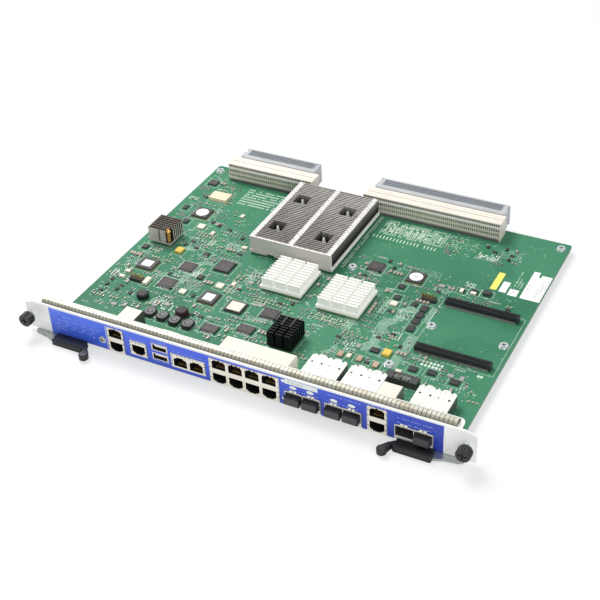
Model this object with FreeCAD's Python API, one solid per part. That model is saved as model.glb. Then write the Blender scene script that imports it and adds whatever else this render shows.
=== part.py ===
import FreeCAD, Part
import math
import os

# Line card of a network switch, lying flat. Millimetres.
# x runs from the left end of the front panel, y back from the panel's front face,
# z up from the top face of the board. The whole card is moved at the end, so that
# the origin lies under its middle, at the height of the surface it lies on.

# cutting shapes run this far past the faces they open
over = 1.0
tiny = 0.01                  # slack when a face or edge is looked up by its place

# board
board_inset_left = 16.8      # from the panel's ends
board_inset_right = 16.5
board_back = 280.2
board_thick = 2.4
board_corner = 2.5
hole_gap = 0.1

# front panel, one folded sheet
panel_height = 26.5
panel_drop = 3.4             # how far the panel reaches below the board's top face
sheet = 1.5
corner_cut_wide = 8.1
corner_cut_tall = 3.0
flange_inset = 12.0          # flange ends, from each end of the panel
flange_depth = 11.6
flange_round = 4.0
fold_round = 1.2
cutout_gap = 0.3
film_inset_left = 23.3       # from the panel's ends
film_inset_right = 24.1
film_thick = 0.3
film_more = 0.25             # wider gap round each opening than the panel's own
film_gap = 0.1

# contact fingers on the flange
finger_pitch = 3.3
finger_gap = 0.45
finger_height = 3.0
finger_sheet = 0.35
finger_foot = 0.9
bow_front = 0.22             # where the crown begins and ends, as shares of the strip's depth
bow_back = 0.62
gasket_front = 1.6
gasket_back = 10.4
gasket_inset = 3.5

# levers
lever_sheet = 2.0
lever_gap = 0.2              # under the panel's lower edge
pivot_x = 24.0
pivot_y = 9.0
pivot_boss = 5.2
claw_outline = ((8.9, -2.9), (11.3, -4.1), (20.6, -5.3), (27.6, -8.2), (56.5, -8.2),
                (56.5, -3.2), (34.0, -1.6), (29.2, 9.0), (18.8, 9.0), (17.2, 4.6),
                (15.4, 1.9), (12.4, 0.9), (9.4, 0.6), (8.3, -0.4), (8.1, -1.8))
rivet_radius = 2.0
rivet_head = 3.4
rivet_head_thick = 0.9
rivet_gap = 0.05
grip_left = 29.3
grip_right = 58.5
grip_front = 10.8
grip_back = 0.9
grip_below = 0.7             # grip under the plate
grip_above = 2.6             # grip over the plate
groove_left = 38.4
groove_right = 40.6
groove_wide = 0.8
groove_deep = 1.0
groove_length = 4.5
grip_edge = 0.8
horn_outline = ((54.0, -3.5), (59.1, -4.6), (62.9, -8.0), (67.6, -14.1), (61.0, -14.3),
                (59.7, -9.2), (56.9, -10.4), (53.5, -10.4))
horn_x = 64.2
horn_y = -15.7
horn_radius = 3.8
horn_step = 0.3
horn_stand = 0.6

# captive screws
screw_inset = 6.0
screw_height = 10.4
knob_radius = 5.6
knob_length = 6.8
knob_standoff = 4.8
knob_ribs = 18
knob_rib_deep = 0.45
knob_slot = 1.0
knob_slot_deep = 1.2
knob_slot_reach = 3.4        # slot's end from the knob's middle
neck_radius = 1.4            # between the knob and the thread
thread_radius = 1.9
thread_start = 0.5           # thread begins this far behind the panel
thread_reach = 6.5           # and ends this far behind it
sleeve_radius = 3.6
sleeve_length = 2.2
sleeve_step = 1.0
neck_gap = 0.06

# push button
button_x = 73.2
button_height = 5.2
button_radius = 1.7
button_recess = 0.6
button_length = 7.5
button_gap = 0.06
ring_radius = 3.1
ring_stand = 0.5
ring_step = 0.6
switch_side = 7.0
switch_length = 7.0
button_travel = 0.8
button_spare = 0.4           # bore past the pressed button's end

# modular jacks
port_pitch = 14.25
port_wide = 11.7
port_tall = 6.7
latch_wide = 6.2
latch_tall = 2.0
key_wide = 3.4
port_deep = 12.5
row_pitch = 11.2
shell_lip = 0.3              # jack faces stand this far before the panel
stack_floor = 0.9
stack_height = 22.9
stack_back = 30.5
notch_back = 15.5            # board cut-out under the front of a stack
notch_gap = 0.4
stack_width = 14.9
stack_chamfer = 1.5
block_ports = 4
block_margin = 1.0
single_width = 15.1
single_height = 12.8
pair_width = 30.0
low_back = 18.5
low_chamfer = 2.5
low_floor_up = 1.4           # port's floor with its latch at the top
low_floor_down = 3.1         # and with its latch at the bottom

# gaps along the panel, from one thing to the next, left to right
gap_end_stack = 78.85
gap_stack_single = 6.0
gap_single_bus = 5.45
gap_bus_pair = 3.3
gap_pair_block = 4.3
gap_block_cage = 5.0
gap_cage_cage = 3.7
gap_cage_stack = 4.85
gap_stack_cage = 6.25
gap_cage_end = 31.8

# stacked bus ports
bus_width = 13.8
bus_bottom = 0.8
bus_height = 17.0
bus_back = 17.6
bus_port_wide = 12.4
bus_port_tall = 5.1
bus_tongue = 1.7
bus_tongue_wide = 10.4
bus_port_deep = 12.0
bus_port_floors = (2.5, 11.3)
bus_tongue_front = 0.8
bus_tongue_low = 0.9         # tongue under the port's top
bus_foot_in = 1.0
bus_foot_front = 3.5

# transceiver cages
cage_width = 29.0
cage_height = 9.8
cage_front = 0.6             # before the panel's face
cage_back = 46.5
cage_sheet = 0.5
cage_bay = 13.9
cage_skirt = 2.9             # collar under the board's top face, before its edge
cage_skirt_back = 1.4
cage_skirt_wall = 1.0
cage_tab_wide = 4.6
cage_tab_long = 4.2
cage_tab_fall = 1.4
cage_tabs = (-7.6, 6.0)
plug_clear = 0.25
plug_deep = 11.0
plug_stands = 4.6            # plug's nose before the cage's front
nose_narrow = 0.6            # nose drawn in from the plug's sides
nose_low = 0.9               # and from its top
nose_edge = 0.5

# backplane connectors
rear_body_in = 19.7          # wafer housing's front, before the board's back edge
rear_shroud_in = 4.7         # shroud's front, before the same edge
rear_past = 12.3             # shroud's back, past that edge
rear_body_height = 17.7
rear_shroud_height = 18.4
rear_shroud_drop = 2.4
rear_ear = 3.6
rear_ear_notch = 2.6
rear_ear_front = 2.0         # slope from the housing to the ear
rear_ear_middle = 4.5        # ear's notch before the shroud's back
rear_groove = 0.8
rear_groove_low = 0.6        # groove's floor under the wafer housing's top
rear_over_left = 4.4         # wafer housing past the shroud's ends
rear_over_right = 2.0
rear_slots = ((2.4, 3.2), (7.4, 8.2), (12.6, 13.4))
rear_slot_end = 1.5
rear_slot_deep = 0.8
rear_spans = ((43.5, 125.0, True, False), (183.6, 306.9, True, True))
vent_pitch = 8.0
vent_wide = 5.0
vent_floor = 2.0
vent_tall = 12.0
vent_deep = 1.2
field_inset = 5.0
field_front = 6.0
field_back = 1.2
field_deep = 0.6

# large heat sink with folded fins
main_left = 117.2
main_right = 195.2
main_front = 160.3
main_clear = 2.5             # fins' end to the wafer housing
main_top = 17.4
main_floor = 1.9
main_plate = 2.5
main_lip = 1.4               # base plate past the fins on the right and the front
main_wall = 1.6
main_pitch = 2.6
main_fin = 1.0
main_gap = 0.9               # wall to the first fin
fin_end = 0.4
fin_low = 0.25               # fins under the bars' tops
bar_wide = 4.6
bar_deep = 1.6
pocket_wide = 13.0
pocket_long = 12.5
pocket_places = ((132.4, 231.8), (132.2, 184.6), (178.6, 229.2), (177.2, 183.8))
spring_pin = 1.2
spring_top = 16.6
pin_below = 0.8
pin_head = 1.9
pin_tip = 0.7
pin_head_tall = 5.0
pin_sides = 8
notch_from = 17.0
notch_wide = 7.0
notch_deep = 6.0
notch_web = 0.8
main_chip_side = 40.0

# cross-cut heat sinks
sink_plate = 1.9
sink_fin = 1.5
sink_slot = 1.6
white_plate = 2.6
white_lip = 1.3              # base plate past the fins
white_side = 38.0
white_groups = 3
white_fins = 10
white_places = ((151.4, 5.9), (206.0, 11.7))     # left edge, gap to the large sink
white_top = 12.0
white_floor = 2.2
package_margin = 1.5
black_left = 193.2
black_front = 50.4
black_wide = 21.0
black_deep = 24.0
black_top = 15.2
black_floor = 1.6
black_groups = 3
black_fins = 8
black_chip_side = 18.0
strap_from = 12.0            # straps start this far behind the sink's front
strap_thick = 0.5
strap_fall = 3.0
small_left = 26.8
small_front = 139.0
small_side = 22.0
small_top = 16.0
small_floor = 2.0
small_corner = 5.0
small_groups = 2
small_fins = 8
small_chip_side = 14.0
small_chip_in = 2.5          # chip from the sink's far corner
post_radius = 1.5
post_head = 2.4
post_head_tall = 2.4
post_tip = 0.9
post_stand = 1.0

# board-to-board connectors
mezz_left = 299.3
mezz_wide = 61.8
mezz_deep = 5.8
mezz_height = 5.1
mezz_fronts = (92.2, 156.0)
mezz_slot = 1.6
mezz_slot_deep = 1.4
mezz_end = 3.0

# pin headers
header_places = ((49.0, 85.0), (285.0, 157.5))
header_pins = 5
header_pitch = 2.54
header_body = 2.5
header_pin = 0.64
header_tall = 6.2

# pan-head screws
screw_places = ((208.2, 175.3), (299.9, 126.4), (360.3, 125.4), (288.4, 69.2))
corner_screws = ((22.7, 9.6), (360.5, 9.0))      # y from the board's back edge
screw_head = 3.3
screw_head_tall = 1.8
screw_shank = 1.4
screw_slot = 0.8
screw_slot_deep = 0.9
screw_bit = 1.9
nut_radius = 2.9
nut_tall = 1.6

# single parts on the board: middle x, middle y, wide, deep, height
square_chip = (44.9, 107.9, 17.0, 16.0, 2.0)
round_chip_left = (46.4, 197.4, 16.4, 16.4, 2.0)
round_chip_right = (264.0, 181.6, 14.4, 16.0, 2.0)
gate_chip = (108.3, 131.3, 15.0, 16.0, 2.0)
label_chip = (119.0, 86.6, 15.6, 16.6, 2.0)
cream_chip = (145.6, 84.6, 16.0, 15.0, 2.0)
clock_can = (48.2, 227.0, 18.0, 12.0, 3.4)
chip_carrier = 0.9           # carrier's height
chip_lid_in = 0.6            # lid inside the carrier's edges
can_edge = 0.8
transformer_offset = -4.0    # from the right stack's middle
transformer_y = 54.4
transformer_size = (25.6, 8.2, 5.4)
core_groove = 1.0
core_groove_deep = 1.0
coil_place = (66.6, 66.8)
coil_radius = 5.2
coil_height = 4.6
coil_edge = 0.9
beeper_place = (110.2, 58.2)
beeper_radius = 5.2
beeper_height = 6.0
module_places = ((85.4, 49.5), (97.6, 48.9), (109.8, 47.6), (122.2, 47.8))
module_wide = 5.6
module_deep = 10.4
module_height = 3.4
module_edge = 0.5

# small packages soldered flat, each one with the board: middle x, y, wide, deep, height
flat_chips = (
    (79.2, 118.6, 12.2, 11.8, 1.5), (75.4, 91.2, 13.4, 12.7, 1.5),
    (140.5, 51.6, 13.6, 8.8, 1.5), (167.6, 62.4, 13.4, 9.2, 1.5),
    (175.8, 88.0, 13.6, 12.2, 1.9), (227.0, 183.0, 12.4, 12.0, 1.9),
    (286.5, 144.4, 5.6, 7.6, 1.2), (286.5, 135.2, 5.6, 7.2, 1.2),
    (286.5, 126.4, 5.6, 7.2, 1.2), (286.5, 116.6, 5.6, 7.6, 1.2),
    (28.4, 248.6, 8.6, 8.2, 1.4), (28.0, 130.6, 4.6, 5.6, 1.6),
    (26.4, 201.0, 4.0, 6.4, 1.2), (39.0, 180.3, 5.0, 6.0, 1.4),
    (59.4, 136.8, 6.0, 7.0, 2.4), (282.0, 80.2, 6.0, 7.0, 2.4),
    (58.4, 85.8, 4.2, 9.2, 2.6), (56.9, 177.9, 6.2, 6.2, 1.5),
    (94.0, 85.4, 5.4, 5.4, 1.7), (118.4, 105.2, 6.2, 6.2, 1.5),
    (84.0, 141.4, 4.4, 5.2, 1.3), (96.9, 109.7, 4.6, 5.4, 1.3),
    (307.5, 71.1, 6.2, 5.2, 1.3), (321.9, 72.7, 6.4, 5.4, 1.3),
    (341.6, 69.4, 7.0, 5.6, 1.3), (272.0, 80.1, 7.0, 5.0, 1.3),
    (249.5, 65.1, 4.2, 6.0, 1.6), (265.3, 65.6, 4.2, 6.0, 1.6),
    (279.7, 63.8, 4.2, 6.0, 1.6), (261.1, 141.2, 6.0, 5.0, 1.5),
    (257.9, 165.6, 4.4, 5.4, 1.2), (260.5, 150.3, 4.4, 5.4, 1.2),
    (277.1, 147.1, 4.0, 4.4, 1.2), (325.5, 183.9, 6.0, 5.4, 2.8),
    (314.9, 182.8, 5.0, 5.0, 1.5), (305.1, 179.9, 4.6, 4.0, 1.4),
)

# worked out from the values above
block_width = block_ports * port_pitch + 2 * block_margin
stack_left_x = gap_end_stack + stack_width / 2
single_x = stack_left_x + stack_width / 2 + gap_stack_single + single_width / 2
bus_x = single_x + single_width / 2 + gap_single_bus + bus_width / 2
pair_x = bus_x + bus_width / 2 + gap_bus_pair + pair_width / 2
block_x = pair_x + pair_width / 2 + gap_pair_block + block_width / 2
cage_one_x = block_x + block_width / 2 + gap_block_cage + cage_width / 2
cage_two_x = cage_one_x + cage_width + gap_cage_cage
stack_right_x = cage_two_x + cage_width / 2 + gap_cage_stack + stack_width / 2
cage_three_x = stack_right_x + stack_width / 2 + gap_stack_cage + cage_width / 2
panel_width = cage_three_x + cage_width / 2 + gap_cage_end
cage_middles = (cage_one_x, cage_two_x, cage_three_x)
board_left = board_inset_left
board_right = panel_width - board_inset_right
film_left = film_inset_left
film_right = panel_width - film_inset_right
rear_front = board_back - rear_body_in
rear_body_back = board_back - rear_shroud_in
rear_back = board_back + rear_past
main_back = rear_front - main_clear
screw_places += tuple((x, board_back - y) for x, y in corner_screws)
panel_bottom = -panel_drop
panel_top = panel_height - panel_drop
film_top = panel_top - sheet
board_front = sheet
middle = panel_width / 2
plate_top = panel_bottom - lever_gap
plate_bottom = plate_top - lever_sheet
grip_bottom = plate_bottom - grip_below
grip_top = plate_top + grip_above
stack_bottom = panel_bottom

pieces = {}


def box(x0, x1, y0, y1, z0, z1):
    return Part.makeBox(x1 - x0, y1 - y0, z1 - z0, FreeCAD.Vector(x0, y0, z0))


def place_box(place, z0=0.0):
    x, y, wide, deep, tall = place
    return box(x - wide / 2, x + wide / 2, y - deep / 2, y + deep / 2, z0, z0 + tall)


def loop(points):
    corners = [FreeCAD.Vector(*p) for p in points]
    return Part.makePolygon(corners + corners[:1])


def prism(points, z0, z1):
    face = Part.Face(loop([(x, y, z0) for x, y in points]))
    return face.extrude(FreeCAD.Vector(0, 0, z1 - z0))


def profile(points, x0, x1):
    face = Part.Face(loop([(x0, y, z) for y, z in points]))
    return face.extrude(FreeCAD.Vector(x1 - x0, 0, 0))


def post(x, y, radius, z0, z1):
    return Part.makeCylinder(radius, z1 - z0, FreeCAD.Vector(x, y, z0))


def rod(x, z, radius, y0, y1):
    return Part.makeCylinder(radius, y1 - y0, FreeCAD.Vector(x, y0, z), FreeCAD.Vector(0, 1, 0))


def fuse(shapes):
    first, rest = shapes[0], shapes[1:]
    return first.multiFuse(rest).removeSplitter() if rest else first


def cut(shape, tools):
    return shape.cut(Part.makeCompound(tools)) if tools else shape


def round_edges(shape, radius, wanted):
    edges = [e for e in shape.Edges if wanted(e)]
    return shape.makeFillet(radius, edges) if edges else shape


def upright(edge):
    low, high = edge.BoundBox.ZMin, edge.BoundBox.ZMax
    return high - low > tiny and max(edge.BoundBox.XLength, edge.BoundBox.YLength) < tiny


def mirrored(shape):
    return shape.mirror(FreeCAD.Vector(middle, 0, 0), FreeCAD.Vector(1, 0, 0))


# jack openings

def port_hole(x, floor, latch_up):
    """Opening of one modular port whose main part starts at this floor."""
    front = -shell_lip - over
    main = box(x - port_wide / 2, x + port_wide / 2, front, port_deep, floor, floor + port_tall)
    top = floor + port_tall if latch_up else floor - latch_tall
    latch = box(x - latch_wide / 2, x + latch_wide / 2, front, port_deep, top, top + latch_tall)
    key_z = floor + port_tall if latch_up else floor - latch_tall / 2
    key = box(x - latch_wide / 2 - key_wide / 2, x + latch_wide / 2 + key_wide / 2,
              front, port_deep, key_z, key_z + latch_tall / 2)
    return fuse([main, latch, key])


def stacked_jack(x, ports):
    """Two rows of ports, the lower ones turned over; its front hangs before the board."""
    wide = stack_width if ports == 1 else block_width
    left, right = x - wide / 2, x + wide / 2
    top = stack_bottom + stack_height
    front = -shell_lip
    side = [(front, stack_bottom), (notch_back - notch_gap, stack_bottom),
            (notch_back - notch_gap, 0), (stack_back, 0), (stack_back, top - stack_chamfer),
            (stack_back - stack_chamfer, top), (front, top)]
    shell = profile(side, left, right)
    low = stack_bottom + stack_floor + latch_tall
    high = low + row_pitch
    holes = []
    for k in range(ports):
        centre = x + (k - (ports - 1) / 2) * port_pitch
        holes.append(port_hole(centre, low, False))
        holes.append(port_hole(centre, high, True))
    return cut(shell, holes)


def low_jack(x, wide, ports, latch_up):
    """One row of ports on the board."""
    tall = single_height
    side = [(-shell_lip, 0), (low_back, 0), (low_back, tall - low_chamfer),
            (low_back - low_chamfer, tall), (-shell_lip, tall)]
    shell = profile(side, x - wide / 2, x + wide / 2)
    floor = low_floor_up if latch_up else low_floor_down
    holes = [port_hole(x + (k - (ports - 1) / 2) * port_pitch, floor, latch_up)
             for k in range(ports)]
    return cut(shell, holes)


def jack_outlines():
    """Face of every jack in the panel: left, right, bottom, top."""
    stack_top = stack_bottom + stack_height
    low = panel_bottom - over
    faces = [
        (stack_left_x - stack_width / 2, stack_left_x + stack_width / 2, low, stack_top),
        (stack_right_x - stack_width / 2, stack_right_x + stack_width / 2, low, stack_top),
        (block_x - block_width / 2, block_x + block_width / 2, low, stack_top),
        (single_x - single_width / 2, single_x + single_width / 2, 0, single_height),
        (pair_x - pair_width / 2, pair_x + pair_width / 2, 0, single_height),
        (bus_x - bus_width / 2, bus_x + bus_width / 2, bus_bottom, bus_bottom + bus_height),
    ]
    for centre in cage_middles:
        faces.append((centre - cage_width / 2, centre + cage_width / 2, low, cage_height))
    return faces


def face_cutters(y0, y1, more=0.0):
    gap = cutout_gap + more
    cutters = [box(left - gap, right + gap, y0, y1, bottom - gap, top + gap)
               for left, right, bottom, top in jack_outlines()]
    return cutters


# panel

def front_panel():
    shape = [(0, panel_bottom), (panel_width, panel_bottom),
             (panel_width, panel_top - corner_cut_tall),
             (panel_width - corner_cut_wide, panel_top),
             (corner_cut_wide, panel_top), (0, panel_top - corner_cut_tall)]
    face = Part.Face(loop([(x, 0, z) for x, z in shape]))
    plate = face.extrude(FreeCAD.Vector(0, sheet, 0))
    left, right = flange_inset, panel_width - flange_inset
    flange = box(left, right, 0, flange_depth, panel_top - sheet, panel_top)
    flange = round_edges(flange, flange_round,
                         lambda e: upright(e) and e.BoundBox.YMin > flange_depth - over)
    body = fuse([plate, flange])
    holes = [rod(button_x, button_height, ring_radius - ring_step, -over, sheet + over)]
    for x in (screw_inset, panel_width - screw_inset):
        holes.append(rod(x, screw_height, sleeve_radius - sleeve_step, -over, sheet + over))
    body = cut(body, face_cutters(-over, sheet + over) + holes)
    fold = [e for e in body.Edges if e.BoundBox.XLength > panel_width / 2
            and abs(e.BoundBox.ZMax - panel_top) < tiny and e.BoundBox.YMax < tiny]
    return body.makeFillet(fold_round, fold)


def panel_film():
    film = box(film_left, film_right, -film_thick, 0, panel_bottom, film_top)
    ring_hole = rod(button_x, button_height, ring_radius + film_gap, -over, over)
    return cut(film, face_cutters(-over, over, film_more) + [ring_hole])


def gasket():
    """Strip clipped on the flange, with a row of bowed contact fingers."""
    first = flange_inset + gasket_inset
    last = panel_width - flange_inset - gasket_inset
    base = box(first, last, gasket_front, gasket_back, panel_top, panel_top + finger_sheet)
    foot = panel_top + finger_sheet
    top = panel_top + finger_height
    span = gasket_back - gasket_front
    bow = [(gasket_front, foot), (gasket_front + span * bow_front, top),
           (gasket_front + span * bow_back, top), (gasket_back, foot)]
    hollow = [(gasket_back - finger_foot, foot),
              (gasket_front + span * bow_back - finger_sheet, top - finger_sheet),
              (gasket_front + span * bow_front + finger_sheet, top - finger_sheet),
              (gasket_front + finger_foot, foot)]
    count = int((last - first) / finger_pitch)
    start = (first + last) / 2 - count * finger_pitch / 2
    fingers = []
    for k in range(count):
        x = start + k * finger_pitch + finger_gap / 2
        ends = k in (0, count - 1)
        fingers.append(profile(bow + hollow if ends else bow, x, x + finger_pitch - finger_gap))
    return base.multiFuse(fingers)


# board

def circuit_board():
    plate = box(board_left, board_right, board_front, board_back, -board_thick, 0)
    plate = round_edges(plate, board_corner,
                        lambda e: upright(e) and e.BoundBox.YMin > board_back - over)
    notches = []
    for x, wide in ((stack_left_x, stack_width), (stack_right_x, stack_width),
                    (block_x, block_width)):
        notches.append(box(x - wide / 2 - notch_gap, x + wide / 2 + notch_gap,
                           board_front - over, notch_back, -board_thick - over, over))
    for x in cage_middles:
        notches.append(box(x - cage_width / 2 - notch_gap, x + cage_width / 2 + notch_gap,
                           board_front - over, cage_skirt_back + notch_gap,
                           -board_thick - over, over))
    for x, y in screw_places:
        notches.append(post(x, y, screw_shank + hole_gap, -board_thick - over, over))
    for x, y in pocket_places:
        notches.append(post(x, y, spring_pin + hole_gap, -board_thick - over, over))
    x, y = post_place()
    notches.append(post(x, y, post_radius + hole_gap, -board_thick - over, over))
    for x in (pivot_x, panel_width - pivot_x):
        notches.append(post(x, pivot_y, rivet_radius, -board_thick - over, over))
    body = cut(plate, notches)
    return fuse([body] + [place_box(chip) for chip in flat_chips])


# levers

def lever_plate():
    """Claw, boss and tail cut from one sheet."""
    sheet_part = prism(claw_outline, plate_bottom, plate_top)
    boss = post(pivot_x, pivot_y, pivot_boss, plate_bottom, plate_top)
    body = fuse([sheet_part, boss])
    return body.cut(post(pivot_x, pivot_y, rivet_radius + rivet_gap,
                         plate_bottom - over, plate_top + over))


def lever_grip(plate):
    """Moulded block on the plate's tail, with a horn that ends in a ball."""
    block = box(grip_left, grip_right, -grip_front, -grip_back, grip_bottom, grip_top)
    block = block.makeChamfer(grip_edge, [e for e in block.Edges if upright(e)
                                          or abs(e.BoundBox.ZMin - grip_top) < tiny])
    neck = prism(horn_outline, grip_bottom + horn_step, grip_top - horn_step)
    ball = post(horn_x, horn_y, horn_radius, grip_bottom + horn_step, grip_top + horn_stand)
    ball = ball.makeChamfer(grip_edge, [e for e in ball.Edges if e.BoundBox.ZLength < tiny])
    grooves = []
    for x in (groove_left, groove_right):
        grooves.append(box(x - groove_wide / 2, x + groove_wide / 2, -grip_back - groove_length,
                           -grip_back + over, grip_top - groove_deep, grip_top + over))
    body = cut(fuse([block, neck, ball]), grooves)
    return body.cut(plate)


def lever_rivet():
    """Shouldered rivet: through the board, the lever turns on its lower end."""
    shank = post(pivot_x, pivot_y, rivet_radius, plate_bottom - rivet_gap, rivet_head_thick)
    foot = post(pivot_x, pivot_y, rivet_head,
                plate_bottom - rivet_gap - rivet_head_thick / 2, plate_bottom - rivet_gap)
    spacer = post(pivot_x, pivot_y, rivet_head, plate_top + rivet_gap, -board_thick)
    return fuse([shank, foot, spacer])


# captive screws and button

def captive_screw(x):
    back = -knob_standoff
    front = back - knob_length
    rim = []
    for k in range(2 * knob_ribs):
        turn = math.pi * (k + 0.5) / knob_ribs
        reach = knob_radius - (knob_rib_deep if k % 2 else 0)
        rim.append((x + reach * math.cos(turn), front, screw_height + reach * math.sin(turn)))
    knob = Part.Face(loop(rim)).extrude(FreeCAD.Vector(0, knob_length, 0))
    slots = []
    for wide, tall in ((knob_slot_reach, knob_slot / 2), (knob_slot / 2, knob_slot_reach)):
        slots.append(box(x - wide, x + wide, front - over, front + knob_slot_deep,
                         screw_height - tall, screw_height + tall))
    start, end = sheet + thread_start, sheet + thread_reach
    neck = rod(x, screw_height, neck_radius, back, start)
    thread = rod(x, screw_height, thread_radius, start, end)
    return fuse([cut(knob, slots), neck, thread])


def screw_sleeve(x):
    """Bush pressed into the panel; the screw's thread can't pass back through it."""
    front = rod(x, screw_height, sleeve_radius, -sleeve_length, 0)
    neck = rod(x, screw_height, sleeve_radius - sleeve_step, 0, sheet)
    bore = rod(x, screw_height, neck_radius + neck_gap, -sleeve_length - over, sheet + over)
    return fuse([front, neck]).cut(bore)


def push_button():
    return rod(button_x, button_height, button_radius, button_recess,
               button_recess + button_length)


def button_switch():
    """Ring in the panel and the switch body behind it, soldered to the board."""
    half = switch_side / 2
    ring = rod(button_x, button_height, ring_radius, -ring_stand, 0)
    neck = rod(button_x, button_height, ring_radius - ring_step, 0, sheet)
    body = box(button_x - half, button_x + half, sheet, sheet + switch_length, 0,
               button_height + half)
    bore = rod(button_x, button_height, button_radius + button_gap, -ring_stand - over,
               button_recess + button_length + button_travel + button_spare)
    return fuse([ring, neck, body]).cut(bore)


# stacked bus ports

def bus_ports():
    half = bus_width / 2
    shell = box(bus_x - half, bus_x + half, -shell_lip, bus_back, bus_bottom,
                bus_bottom + bus_height)
    foot = box(bus_x - half + bus_foot_in, bus_x + half - bus_foot_in, bus_foot_front,
               bus_back - bus_foot_in, 0, bus_bottom)
    body = fuse([shell, foot])
    for floor in bus_port_floors:
        hole = box(bus_x - bus_port_wide / 2, bus_x + bus_port_wide / 2, -shell_lip - over,
                   bus_port_deep, floor, floor + bus_port_tall)
        top = floor + bus_port_tall - bus_tongue_low
        tongue = box(bus_x - bus_tongue_wide / 2, bus_x + bus_tongue_wide / 2,
                     bus_tongue_front, bus_port_deep + over, top - bus_tongue, top)
        body = body.cut(hole.cut(tongue))
    return body


# transceiver cages

def bay_box(centre, side, front, back, shrink=0.0):
    """Inside of one bay; side is -1 for the left one and 1 for the right one."""
    offset = side * (cage_bay + cage_sheet) / 2
    half = cage_bay / 2 - shrink
    return box(centre + offset - half, centre + offset + half, front, back,
               cage_sheet + shrink, cage_height - cage_sheet - shrink)


def transceiver_cage(centre):
    half = cage_width / 2
    shell = box(centre - half, centre + half, -cage_front, cage_back, 0, cage_height)
    skirt = box(centre - half, centre + half, -cage_front, cage_skirt_back, -cage_skirt, 0)
    relief = box(centre - half + cage_skirt_wall, centre + half - cage_skirt_wall,
                 -cage_front - over, cage_skirt_back + over,
                 -cage_skirt + cage_skirt_wall, -cage_skirt_wall)
    tabs = []
    for dx in cage_tabs:
        side = [(cage_back, cage_height - cage_sheet), (cage_back, cage_height),
                (cage_back + cage_tab_long, cage_height - cage_tab_fall),
                (cage_back + cage_tab_long, cage_height - cage_tab_fall - cage_sheet)]
        tabs.append(profile(side, centre + dx - cage_tab_wide / 2, centre + dx + cage_tab_wide / 2))
    body = fuse([shell, skirt.cut(relief)] + tabs)
    return cut(body, [bay_box(centre, side, -cage_front - over, cage_back - cage_sheet)
                      for side in (-1, 1)])


def dust_plug(centre, side):
    """Plug held in a bay by its thicker root; its narrower nose stands before the panel."""
    root = bay_box(centre, side, -cage_front, plug_deep, plug_clear)
    room = root.BoundBox
    nose = box(room.XMin + nose_narrow, room.XMax - nose_narrow, -cage_front - plug_stands,
               -cage_front, room.ZMin, room.ZMax - nose_low)
    nose = nose.makeChamfer(nose_edge, [e for e in nose.Edges
                                        if e.BoundBox.YMax < -cage_front - plug_stands + tiny])
    return fuse([root, nose])


# backplane connectors

def rear_body(left, right):
    """Wafer housing with rows of slots in its front face."""
    x0, x1 = left - rear_over_left, right + rear_over_right
    body = box(x0, x1, rear_front, rear_body_back, 0, rear_body_height)
    slots = [box(x0 + rear_slot_end, x1 - rear_slot_end, rear_front - over,
                 rear_front + rear_slot_deep, low, high) for low, high in rear_slots]
    return cut(body, slots)


def rear_shroud(left, right, left_ear, right_ear):
    """Grey housing over the board's edge, with notched ears and a recessed pin field."""
    front = rear_body_back
    x0 = left + (0 if left_ear else rear_ear)
    x1 = right - (0 if right_ear else rear_ear)
    mid = rear_back - rear_ear_middle
    outline = [(x0 + (rear_ear if left_ear else 0), front),
               (x1 - (rear_ear if right_ear else 0), front)]
    if right_ear:
        outline += [(x1, front + rear_ear_front), (x1, mid - rear_ear_notch),
                    (x1 - rear_ear_notch, mid), (x1, mid + rear_ear_notch)]
    outline.append((x1, rear_back))
    outline.append((x0, rear_back))
    if left_ear:
        outline += [(x0, mid + rear_ear_notch), (x0 + rear_ear_notch, mid),
                    (x0, mid - rear_ear_notch), (x0, front + rear_ear_front)]
    body = prism(outline, 0, rear_shroud_height)
    below = box(x0 + rear_ear, x1 - rear_ear, board_back, rear_back, -rear_shroud_drop, 0)
    field = box(left + field_inset, right - field_inset, front + field_front,
                rear_back - field_back, rear_shroud_height - field_deep,
                rear_shroud_height + over)
    groove = box(x0 - over, x1 + over, front - over, front + rear_groove,
                 rear_body_height - rear_groove_low, rear_shroud_height + over)
    cuts = [field, groove]
    count = int((x1 - x0 - 2 * rear_ear) / vent_pitch)
    for k in range(count):
        x = x0 + rear_ear + (k + 0.5) * vent_pitch
        cuts.append(box(x - vent_wide / 2, x + vent_wide / 2, rear_back - vent_deep,
                        rear_back + over, vent_floor, vent_floor + vent_tall))
    return cut(fuse([body, below]), cuts)


# heat sinks

def pocket(x, y, bottom, top):
    return box(x - pocket_wide / 2, x + pocket_wide / 2, y - pocket_long / 2,
               y + pocket_long / 2, bottom, top)


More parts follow.
